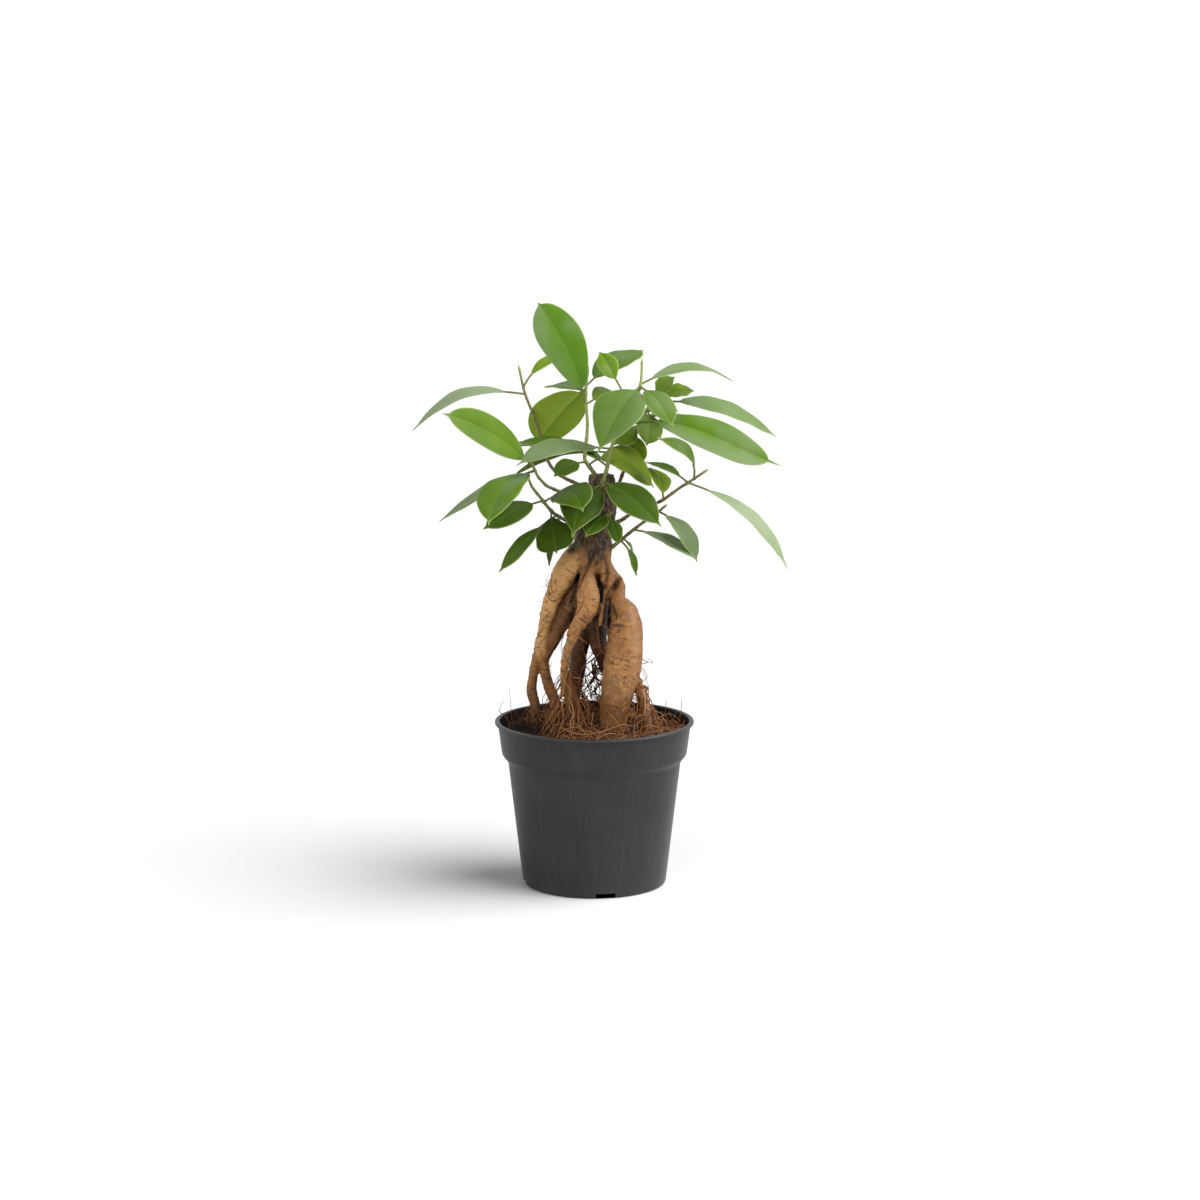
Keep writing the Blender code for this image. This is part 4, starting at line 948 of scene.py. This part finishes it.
def make_chips(surface):
    """Crumbs and chips of coir pith, strewn over the soil."""
    draw = np.random.default_rng(5)
    shape = Shape()
    for level, count, small, large in ((2, 620, 0.9, 2.3), (1, 2600, 0.35, 1.1)):
        unit, faces = ball(level)
        for _ in range(count):
            out = 55.6 * math.sqrt(draw.uniform(0.0, 1.0))
            turn = draw.uniform(0, math.tau)
            x, y = out * math.cos(turn), out * math.sin(turn)
            size = draw.uniform(small, large)
            reach = np.array([size, size * draw.uniform(0.45, 0.9), size * draw.uniform(0.35, 0.7)])
            lumpy = unit * (1 + 0.45 * draw.uniform(-1, 1, (len(unit), 1)))
            spin = Quaternion(Vector(draw.normal(size=3)).normalized(), draw.uniform(0, 1.4))
            spin = spin @ Quaternion(UP, draw.uniform(0, math.tau))
            body = (lumpy * reach) @ np.array(spin.to_matrix()).T
            if out + size > 56.0 or level == 2 and math.hypot(x - 13, y + 28) < 10:
                continue
            z = float(soil_level(x, y)) + soil_crumb(x, y) + size * draw.uniform(-0.1, 0.35)
            shape.add(body + (x, y, z), faces, tint=draw.uniform(0, 0.85))
    return hand_over(shape.build("soil_chips", [surface], smooth=False), "coir_soil")


def make_coir(surface):
    """Long coir fibres that lie over each other on the soil, a few of them standing up."""
    draw = np.random.default_rng(11)
    count, length = 1500, 9
    out = 54.0 * np.sqrt(draw.uniform(0.0, 1.0, count))
    turn = draw.uniform(0, math.tau, count)
    reach = draw.uniform(5, 22, count)
    heading = draw.uniform(0, math.tau, count)
    bend = draw.normal(0, 0.10, count)
    rise = np.where(draw.uniform(size=count) < 0.10, draw.uniform(2.5, 7.5, count), draw.uniform(0.3, 2.6, count))
    lines = np.zeros((count, length, 3))
    x, y = out * np.cos(turn), out * np.sin(turn)
    rise = np.where(np.hypot(x - 13, y + 30) < 15, rise * 0.3, rise)
    for step in range(length):
        share = step / (length - 1)
        crumb = np.array([soil_crumb(a, b) for a, b in zip(x, y)])
        arch = rise * np.sin(math.pi * np.clip(share * 1.05, 0, 1)) ** 0.8
        lines[:, step] = np.stack([x, y, soil_level(x, y) + crumb * 0.6 + 0.2 + arch - 0.5 * (share > 0.98)], axis=1)
        heading = heading + bend + draw.normal(0, 0.11, count)
        x = x + np.cos(heading) * reach / length
        y = y + np.sin(heading) * reach / length
        shrink = np.minimum(1.0, 54.6 / np.hypot(x, y))
        x, y = x * shrink, y * shrink
    radius = draw.uniform(0.09, 0.24, count)[:, None] * np.linspace(1.0, 0.55, length)[None, :]
    shape = Shape()
    points, faces = strands(lines, radius, 4, draw)
    tint = np.repeat(draw.uniform(0.1, 1.0, count), length * 4)
    shape.add(points, faces, tint=tint)
    return hand_over(shape.build("coir_fibres", [surface]), "coir_soil")


# Trunk

def root_lines():
    """Each root's places and radii, close together."""
    lines = []
    for root in TRUNK:
        steps = smooth_path(root.path, ROOT_STEP)
        lines.append(([place for place, _ in steps], [between(root.radii, index) for _, index in steps]))
    return lines


def closed_in(made, points, normals):
    """How much of the space in front of each point is shut off by the mesh itself, from 0 to 1."""
    tree = BVHTree.FromObject(made, bpy.context.evaluated_depsgraph_get())
    draw = np.random.default_rng(3)
    ways = draw.normal(size=(len(points), CLOSED_RAYS, 3))
    ways /= np.linalg.norm(ways, axis=2, keepdims=True)
    ways += normals[:, None, :] * 1.02
    ways /= np.linalg.norm(ways, axis=2, keepdims=True)
    starts = (points + normals * 0.5) * MM
    closed = np.zeros(len(points))
    for index, (start, fan) in enumerate(zip(starts.tolist(), ways.tolist())):
        for way in fan:
            if tree.ray_cast(start, way, CLOSED_REACH * MM)[0] is not None:
                closed[index] += 1
    return closed / CLOSED_RAYS


def make_trunk(surface):
    """The trunk and its roots blended into one skin, with wrinkles, lenticels and an old rough neck."""
    shape = Shape()
    lines = root_lines()
    for number, (places, radii) in enumerate(lines):
        sides = 28

        def swell(ring, corner, number=number, places=places, sides=sides):
            turn = math.tau * corner / sides
            place = Vector((math.cos(turn) * 0.9, math.sin(turn) * 0.9, places[ring].z / 14 + number * 7.3))
            return 1 + 0.075 * noise.noise(place) + 0.03 * noise.noise(place * 2.7)

        shape.add(*tube(places, radii, sides, swell))
    trunk = shape.build("trunk_bark", [surface])
    remesh = trunk.modifiers.new("skin", "REMESH")
    remesh.mode = "VOXEL"
    remesh.voxel_size = BARK_VOXEL * MM
    smooth = trunk.modifiers.new("fillets", "SMOOTH")
    smooth.factor = 0.5
    smooth.iterations = 3
    apply_modifiers(trunk)
    mesh = trunk.data
    points = np.zeros(len(mesh.vertices) * 3)
    mesh.vertices.foreach_get("co", points)
    points = points.reshape(-1, 3) / MM
    normals = np.zeros(len(mesh.vertices) * 3)
    mesh.vertices.foreach_get("normal", normals)
    normals = normals.reshape(-1, 3)

    # where each point lies on its nearest root: along it, round it, and which root it is
    best = np.full(len(points), 1e9)
    along, around, owner = (np.zeros(len(points)) for _ in range(3))
    for number, (places, radii) in enumerate(lines):
        walked = 0.0
        side = (places[1] - places[0]).orthogonal().normalized()
        for index in range(len(places) - 1):
            start, step = np.array(places[index]), np.array(places[index + 1] - places[index])
            size = np.linalg.norm(step)
            share = np.clip(((points - start) @ step) / size ** 2, 0, 1)
            offset = points - start - share[:, None] * step
            radius = radii[index] + (radii[index + 1] - radii[index]) * share
            away = np.linalg.norm(offset, axis=1) - radius
            direction = Vector(step / size)
            side = (side - direction * side.dot(direction)).normalized()
            other = direction.cross(side)
            turn = np.arctan2(offset @ np.array(other), offset @ np.array(side))
            nearer = away < best
            best = np.where(nearer, away, best)
            along = np.where(nearer, walked + share * size, along)
            around = np.where(nearer, turn * np.maximum(radius, 2.5), around)
            owner = np.where(nearer, number, owner)
            walked += size
    edges = np.zeros(len(mesh.edges) * 2, np.int64)
    mesh.edges.foreach_get("vertices", edges)
    edges = edges.reshape(-1, 2)

    def spread(values, times):
        """Values averaged with their neighbours' a number of times."""
        for _ in range(times):
            total, near = values.copy(), np.ones(len(values))
            np.add.at(total, edges[:, 0], values[edges[:, 1]])
            np.add.at(total, edges[:, 1], values[edges[:, 0]])
            np.add.at(near, edges.ravel(), 1)
            values = (total.T / near).T
        return values

    dip = ((spread(points, 12) - points) * normals).sum(axis=1)
    hollow = spread(smoothstep(0.10, 0.75, dip), 3)
    # painted shade for each root, below 0 painted light, blended across the joins
    shade = spread(np.array([root.shade for root in TRUNK])[owner.astype(int)], 10)
    old = np.zeros(len(points))
    for index, (x, y, z) in enumerate(points):
        edge = 7.0 * noise.noise(Vector((x / 5.0, y / 5.0, z / 14.0))) + 5.0 * noise.noise(Vector((x, y, z)) / 2.2)
        old[index] = z + edge + NECK_TONGUE * math.exp(-(x / 4.5) ** 2)
    old = spread(smoothstep(NECK_FOOT - 2.5, NECK_FOOT + 2.5, old), 1)
    lift = np.zeros(len(points))
    for index, (x, y, z) in enumerate(points):
        root = Vector((along[index] / 1.5, around[index] / 8.0, owner[index] * 5.1))
        wrinkle = noise.noise(root) * 0.24 + noise.noise(root * 2.3) * 0.13
        wart = noise.noise(Vector((along[index] / 2.4, around[index] / 3.2, owner[index] * 3.7 + 40)))
        wart = max(0.0, wart - 0.52) * 1.6
        place = Vector((x, y, z))
        coarse = noise.noise(place / 7.0) * 0.35
        rough = noise.fractal(Vector((x / 2.0, y / 2.0, z / 4.5)), 0.9, 2.0, 4) * 1.0
        lift[index] = (wrinkle + wart + coarse) * (1 - old[index]) + rough * old[index]
    dent = np.zeros(len(points))
    for line in SCARS:
        for (x, z), (next_x, next_z) in zip(line, line[1:]):
            start, step = np.array((x, z)), np.array((next_x - x, next_z - z))
            offset = points[:, (0, 2)] - start
            share = np.clip(offset @ step / (step @ step), 0, 1)
            away = np.linalg.norm(offset - share[:, None] * step, axis=1)
            dent = np.maximum(dent, np.exp(-(away / SCAR_WIDTH) ** 2))
    dent *= smoothstep(-0.1, -0.5, normals[:, 1]) * smoothstep(4.0, 0.0, points[:, 1])
    points = points + normals * (lift - CREASE_DEPTH * hollow - SCAR_DEPTH * dent)[:, None]
    # the creases join the hollows, which the bark darkens as painted shade
    hollow = np.maximum(hollow, dent)
    mesh.vertices.foreach_set("co", (points * MM).ravel())
    mesh.update()
    # how shut in each point is, which the bark darkens as painted shade
    closed = spread(closed_in(trunk, points, normals), 3)
    for key, value in (("hollow", hollow), ("neck", old), ("shade", shade), ("closed", closed)):
        mesh.attributes.new(key, "FLOAT", "POINT").data.foreach_set("value", value.astype(np.float32))
    at = np.stack([along, around, owner * 13.0], axis=1).astype(np.float32)
    mesh.attributes.new("bark_at", "FLOAT_VECTOR", "POINT").data.foreach_set("vector", at.ravel())
    mesh.update()
    mesh.shade_smooth()
    return hand_over(trunk, "root_bark", "trunk")


def make_fine_roots(surface, trunk):
    """Fine roots: tangles that hang from the fat ones, fans that run into the soil and stray hairs."""
    tree = BVHTree.FromObject(trunk, bpy.context.evaluated_depsgraph_get())
    draw = np.random.default_rng(23)
    lines, radii, tints = [], [], []
    length = 14

    def strand(points, radius, tint):
        """Keep one strand, resampled to the common length."""
        places = [place for place, _ in smooth_path(points, 1.0)]
        picks = np.linspace(0, len(places) - 1, length)
        lines.append([tuple(places[int(pick)].lerp(places[min(int(pick) + 1, len(places) - 1)], pick % 1))
                      for pick in picks])
        radii.append(np.linspace(radius, radius * 0.45, length))
        tints.append(tint)

    def skin(point):
        """The nearest point of the trunk's skin, and the way out of it."""
        place, normal, _, _ = tree.find_nearest(Vector(point) * MM)
        return place / MM, normal

    # fans at the foot of each root: its place, the heights they start at, how many and how wide
    fans = [((-36, 12), 98, 108, 12, 8), ((-21, 11.5), 98, 112, 20, 10), ((-13, -5), 103, 134, 84, 21),
            ((11, -15), 95, 99, 12, 12), ((30.5, -9.5), 98, 132, 44, 11), ((9, 13), 98, 112, 16, 11),
            ((-14, 21), 98, 112, 18, 11), ((13, 26), 98, 112, 20, 13)]
    for (x, y), low, high, count, reach in fans:
        for _ in range(count):
            turn = draw.uniform(0, math.tau)
            foot, way = skin((x + 8 * math.cos(turn), y + 8 * math.sin(turn), draw.uniform(low, high)))
            sideways = Vector((math.cos(turn), math.sin(turn), 0))
            end = foot + sideways * draw.uniform(0.3, 1.0) * reach
            end.z = float(soil_level(end.x, end.y)) + draw.uniform(-0.6, 0.6)
            path = [foot - way * 0.3, foot + way * draw.uniform(0.4, 2.0) - UP * 0.5]
            stray = min(2.6, 0.4 + (foot.z - 98) * 0.11)
            for share in (0.25, 0.5, 0.75):
                drop = foot.lerp(end, share)
                drop.z += (foot.z - end.z) * 0.12 * math.sin(math.pi * share)
                path.append(drop + way * 1.2 * (1 - share) + Vector(draw.normal(0, stray, 3)))
            path += [end, end + sideways * draw.uniform(1, 5) - UP * draw.uniform(0.0, 1.2)]
            strand(path, draw.uniform(0.20, 0.42), draw.uniform(0.15, 0.95))
    # hairs that curl away from the skin of the fat roots
    for _ in range(170):
        x, z = draw.uniform(-38, 33), draw.uniform(104, 190)
        foot, way = skin((x, draw.uniform(-26, 30), z))
        if foot.z < 103:
            continue
        sag = -UP * draw.uniform(0.5, 4.0)
        run = Vector(draw.normal(0, 1, 3))
        run = (run - way * run.dot(way)).normalized() * draw.uniform(2, 6)
        strand([foot - way * 0.2, foot + way * draw.uniform(0.3, 1.2) + run * 0.4, foot + way * 1.0 + run + sag * 0.5,
                foot + way * draw.uniform(0.2, 2.0) + run * 1.4 + sag], draw.uniform(0.10, 0.20),
               draw.uniform(0.3, 0.95))
    # threads that creep over the skin of the inner roots
    for _ in range(CREEPERS):
        place, way = skin((draw.uniform(-32, 14), draw.uniform(-16, 6), draw.uniform(118, 182)))
        heading = Vector((draw.normal(0, 1.0), draw.normal(0, 0.5), draw.normal(-0.3, 0.5)))
        path = [place - way * 0.2]
        for _ in range(draw.integers(3, 7)):
            heading = (heading - way * heading.dot(way)).normalized()
            heading = (heading + Vector(draw.normal(0, 0.25, 3))).normalized()
            place, way = skin(place + way * 0.5 + heading * 3.2)
            place = place + way * draw.uniform(0.15, 0.7)
            path.append(place)
        strand(path, draw.uniform(0.16, 0.36), draw.uniform(0.35, 0.95))
    # the net of fine roots behind the gap in the middle, their near-black tint painted shade
    for _ in range(NET_THREADS):
        place = Vector((draw.uniform(-7, 7), draw.uniform(0, 8), draw.uniform(126, 142)))
        path = [place]
        while place.z > 103:
            place = place + Vector((draw.normal(0, 3.2), draw.normal(0, 1.0), -draw.uniform(0.5, 5.0)))
            place.x = min(max(place.x, -9), 9)
            path.append(place)
        strand(path, draw.uniform(0.26, 0.48), draw.uniform(0.0, 0.12))
    for path, radius, tint in LOOSE_ROOTS:
        strand(path, radius, tint)
    shape = Shape()
    sides = 5
    points, faces = strands(np.array(lines), np.array(radii), sides, draw)
    shape.add(points, faces, tint=np.repeat(np.array(tints), length * sides))
    return hand_over(shape.build("fine_roots", [surface]), "root_bark")


# Shoots

def blade_half_width(share, leaf):
    """Half the width of a blade at a share of its length: an oval with a small drip tip."""
    tip_power = BLADE_ROUNDNESS * (1 - leaf.widest) / leaf.widest
    oval_share = min(share / (1 - leaf.drip), 1.0)
    oval = oval_share ** BLADE_ROUNDNESS * (1 - oval_share) ** tip_power
    peak = leaf.widest ** BLADE_ROUNDNESS * (1 - leaf.widest) ** tip_power
    drip = 1.1 * min(1.0, (1 - share) / leaf.drip) ** 0.7 if share > 1 - leaf.drip * 1.6 else 0.0
    return max(leaf.width / 2 * oval / peak, drip, PETIOLE_RADIUS * (1 - share) + 0.12)


def add_leaf(shape, base, leaf, draw):
    """One leaf: a round stalk that widens into a blade with a keel below and a groove above."""
    chord = Vector(leaf.tip) - base
    length = chord.length
    along = chord / length
    face = Vector(leaf.face)
    upward = (face - along * face.dot(along)).normalized()
    across = along.cross(upward)
    stalk = min(leaf.petiole / length, LONGEST_STALK_SHARE)
    shares = list(np.linspace(-PETIOLE_SINK / length, stalk, STALK_ROWS, endpoint=False))
    rows = (1 - np.cos(np.linspace(0, math.pi, BLADE_ROWS))) / 2
    rows = rows * 0.55 + np.linspace(0, 1, BLADE_ROWS) * 0.45
    shares += [stalk + (1 - stalk) * row for row in rows]
    crest_power = math.log(0.5) / math.log(leaf.crest)
    columns = [-column for column in reversed(COLUMNS)] + list(COLUMNS[1:])
    waves = draw.uniform(2.2, 3.6)
    phases = draw.uniform(0, math.tau), draw.uniform(0, math.tau)
    lean = draw.uniform(-0.02, 0.02) * length
    uneven = draw.uniform(-0.06, 0.06)
    swells = draw.uniform(0, math.tau), draw.uniform(0, math.tau)
    points, at, stalks, unders, painted_sheens = [], [], [], [], []
    for share in shares:
        inside = max(share, 0.0)
        arch = math.sin(math.pi * inside ** crest_power)
        blade = (share - stalk) / (1 - stalk)
        middle = base + chord * share + (upward * leaf.bow + across * leaf.sweep) * arch
        middle += across * lean * math.sin(2 * math.pi * inside) * inside
        ahead = chord * 0.01 + (upward * leaf.bow + across * leaf.sweep) * (
            math.sin(math.pi * min(inside + 0.01, 1) ** crest_power) - arch)
        ahead.normalize()
        wide_way = (across - ahead * across.dot(ahead)).normalized()
        up_way = wide_way.cross(ahead)
        twist = Quaternion(ahead, math.radians(leaf.twist) * max(blade, 0))
        wide_way, up_way = twist @ wide_way, twist @ up_way
        round_share = 1 - float(smoothstep(0.0, 0.07, blade))
        if blade > 0:
            half = blade_half_width(blade, leaf)
            half = half + (PETIOLE_RADIUS - half) * round_share * (half < PETIOLE_RADIUS)
        else:
            half = PETIOLE_RADIUS
        opened = 1 - round_share
        fold = math.radians(leaf.fold) * opened
        keel = 0.75 * (1 - max(blade, 0)) ** 0.8 * opened + 0.12 * opened
        for under in (False, True):
            order = columns if not under else list(reversed(columns))
            for column in order:
                size = abs(column)
                bent = math.sqrt(size * size + 0.03 ** 2) - 0.03
                lift = half * (math.tan(fold) * bent - leaf.curl * opened * size ** 2.4)
                phase = phases[0] if column > 0 else phases[1]
                ripple = math.sin(math.tau * waves * max(blade, 0) + phase) * size ** 3
                lift += leaf.wave * 0.032 * leaf.width * ripple * opened * math.sin(math.pi * max(blade, 0.0))
                thick = (EDGE_THICKNESS + (BLADE_THICKNESS - EDGE_THICKNESS) * (1 - size ** 5)) / 2
                groove = 0.16 * math.exp(-(size * half / 0.5) ** 2) * opened
                rib = keel * math.exp(-(size * half / 0.55) ** 2)
                offset = (-thick - rib if under else thick - groove)
                swell = swells[0] if column > 0 else swells[1]
                wide = half * (1 + uneven * np.sign(column) + 0.035 * math.sin(8.5 * blade + swell))
                flat = wide_way * column * wide + up_way * (lift + offset)
                turn = math.pi / 2 * (1 - column)
                turn = -turn if under else turn
                circle = (wide_way * math.cos(turn) + up_way * math.sin(turn)) * PETIOLE_RADIUS
                points.append(middle + flat * opened + circle * round_share)
                at.append((share * length, size * half, (1 - size) * half + round_share * 3))
                stalks.append(round_share)
                unders.append(1.0 if under else 0.0)
                # painted sheen at each point, more on one half
                painted_sheens.append(leaf.wax + max(0.0, column * leaf.sheen_half))
    ring = 2 * len(columns)
    faces = []
    for row in range(len(shares) - 1):
        low, high = row * ring, (row + 1) * ring
        for corner in range(ring):
            following = (corner + 1) % ring
            faces.append((low + corner, high + corner, high + following, low + following))
    faces.append(tuple(range(ring)))
    faces.append(tuple(reversed(range(len(points) - ring, len(points)))))
    bright = min(1.0, max(0.0, leaf.bright + draw.uniform(-0.05, 0.05)))
    look = np.stack([np.full(len(points), bright), np.full(len(points), leaf.yellow), np.array(unders)], axis=1)
    shape.add(points, faces, 0, leaf_at=np.array(at), leaf_look=look, stalk=np.array(stalks),
              young=np.zeros(len(points)), wax=np.array(painted_sheens))


def twig_lines(shoot):
    """The middle and radius of each ring of a twig as in the solids."""
    foot, bud = shoot.radii
    steps = smooth_path(shoot.path, TWIG_STEP)
    share = [index / (len(shoot.path) - 1) for _, index in steps]
    return [place for place, _ in steps], [foot + (bud - foot) * value for value in share]


def twig_place(shoot, share):
    """The point at a share of a twig's length, from its foot to the base of its bud."""
    places, _ = twig_lines(shoot)
    lengths = [(after - before).length for before, after in zip(places, places[1:])]
    left = share * sum(lengths)
    for index, length in enumerate(lengths):
        if left <= length:
            return places[index].lerp(places[index + 1], left / length)
        left -= length
    return places[-1]


def make_shoot(name, shoot, foliage, bark):
    """A twig with swollen joints, its leaves and its pointed bud."""
    draw = random.Random(name)
    shape = Shape()
    places, radii = twig_lines(shoot)
    lengths = [0.0]
    for before, after in zip(places, places[1:]):
        lengths.append(lengths[-1] + (after - before).length)
    total = lengths[-1]
    fine, fine_radii, young = [], [], []
    steps = max(12, int(total / 0.9))
    joints = sorted(leaf.at for leaf in shoot.leaves)
    joints += [share for share in np.arange(0.18, 0.95, 0.13)]
    for step in range(steps + 1):
        walked = total * step / steps
        index = min(max(np.searchsorted(lengths, walked) - 1, 0), len(places) - 2)
        share = (walked - lengths[index]) / (lengths[index + 1] - lengths[index])
        radius = radii[index] + (radii[index + 1] - radii[index]) * share
        for joint in joints:
            radius += 0.22 * math.exp(-((walked - joint * total) / 0.8) ** 2)
        radius += 0.9 * math.exp(-(walked / 7.0) ** 2)
        fine.append(places[index].lerp(places[index + 1], share))
        fine_radii.append(radius)
        young.append(walked / total + shoot.green)
    for _ in range(3):
        fine = [fine[0]] + [(a + b * 2 + c) / 4 for a, b, c in zip(fine, fine[1:], fine[2:])] + [fine[-1]]
    ending = (fine[-1] - fine[-4]).normalized()
    tip = fine[-1]
    for share, wide in ((0.12, 1.05), (0.3, 1.2), (0.5, 1.02), (0.72, 0.66), (0.9, 0.3), (1.0, 0.1)):
        fine.append(tip + ending * BUD_LENGTH * share)
        fine_radii.append(shoot.radii[1] * wide)
        young.append(1.2)
    points, faces = tube(fine, fine_radii, TWIG_SIDES)
    count = len(points)
    shape.add(points, faces, 1, leaf_at=np.zeros((count, 3)), leaf_look=np.zeros((count, 3)),
              stalk=np.zeros(count), young=np.repeat(np.array(young), TWIG_SIDES), wax=0.0)
    for leaf in shoot.leaves:
        add_leaf(shape, twig_place(shoot, leaf.at), leaf, draw)
    return hand_over(shape.build(name + "_leaves", [foliage, bark]), "foliage", name)


# Stage

def make_stage():
    """The pale floor with a painted shadow under the pot, the camera and soft studio light."""
    mesh = bpy.data.meshes.new("floor")
    mesh.from_pydata([(-6, -6, 0), (6, -6, 0), (6, 6, 0), (-6, 6, 0)], [], [(0, 1, 2, 3)])
    floor = bpy.data.objects.new("floor", mesh)
    bpy.context.scene.collection.objects.link(floor)
    surface, tree, shader = new_material("pale_floor")
    rays = add(tree, "LightPath").outputs["Is Camera Ray"]
    color = blended(tree, rays, (0.45, 0.45, 0.45), (0.93, 0.93, 0.93))
    out = add(tree, "VectorMath", {"operation": "LENGTH"}, Vector=add(tree, "TexCoord").outputs["Object"])
    # painted shadow on the floor under the pot, seen through the foot slots
    under = ranged(tree, out.outputs["Value"], (BASE_RADIUS - 1) * MM, (BASE_RADIUS - 2) * MM)
    connect(tree, shader.inputs["Base Color"], blended(tree, under, color, (0.01, 0.01, 0.01)))
    shader.inputs["Roughness"].default_value = 0.9
    shader.inputs["Specular IOR Level"].default_value = 0.0
    mesh.materials.append(surface)
    camera = bpy.data.objects.new("camera", bpy.data.cameras.new("camera"))
    camera.location = CAMERA_PLACE
    camera.rotation_euler = (CAMERA_TILT, 0, 0)
    camera.data.lens = CAMERA_LENS
    camera.data.sensor_width = 36
    camera.data.clip_end = 60
    bpy.context.scene.collection.objects.link(camera)
    bpy.context.scene.camera = camera
    world = bpy.data.worlds.new("studio")
    world.use_nodes = True
    bpy.context.scene.world = world
    tree = world.node_tree
    rays = add(tree, "LightPath")
    strength = calc(tree, "MULTIPLY_ADD", rays.outputs["Is Glossy Ray"], GLOSSY_WORLD - DIM_WORLD, DIM_WORLD)
    strength = calc(tree, "MULTIPLY_ADD", rays.outputs["Is Camera Ray"], 1.05 - DIM_WORLD, strength)
    connect(tree, tree.nodes["Background"].inputs["Strength"], strength)
    tree.nodes["Background"].inputs["Color"].default_value = (1, 1, 1, 1)
    for name, way, spread, power in LIGHTS:
        light = bpy.data.objects.new(name, bpy.data.lights.new(name, "SUN"))
        light.data.angle = math.radians(spread)
        light.data.energy = power
        light.visible_glossy = name != MATTE_LIGHT
        light.rotation_euler = (-Vector(way)).to_track_quat("-Z", "Y").to_euler()
        bpy.context.scene.collection.objects.link(light)
    scene = bpy.context.scene
    scene.view_settings.view_transform = "Standard"
    scene.view_settings.look = "None"


make_stage()
# the inside wall gets painted shade and the lip's top is made darker
make_pot(plastic_material("pot_plastic", 0.60, 0.0, 0.22), plastic_material("pot_inside", 0.10, 0.85),
         plastic_material("pot_lip", 0.22, 0.3))
make_soil(soil_material())
pith = fibre_material("coir_pith", (0.010, 0.005, 0.003), (0.062, 0.025, 0.011), (0.17, 0.080, 0.034))
coir = fibre_material("coir_fibre", (0.035, 0.012, 0.005), (0.20, 0.072, 0.026), (0.56, 0.27, 0.115))
make_chips(pith)
make_coir(coir)
bark_surface = bark_material()
root_skin = fibre_material("fine_root", (0.040, 0.015, 0.007), (0.27, 0.105, 0.036), (0.52, 0.29, 0.125))
trunk_bark = make_trunk(bark_surface)
make_fine_roots(root_skin, trunk_bark)
leaf_surface, twig_surface = leaf_material(), twig_material()
for shoot_name, one_shoot in SHOOTS.items():
    make_shoot(shoot_name, one_shoot, leaf_surface, twig_surface)
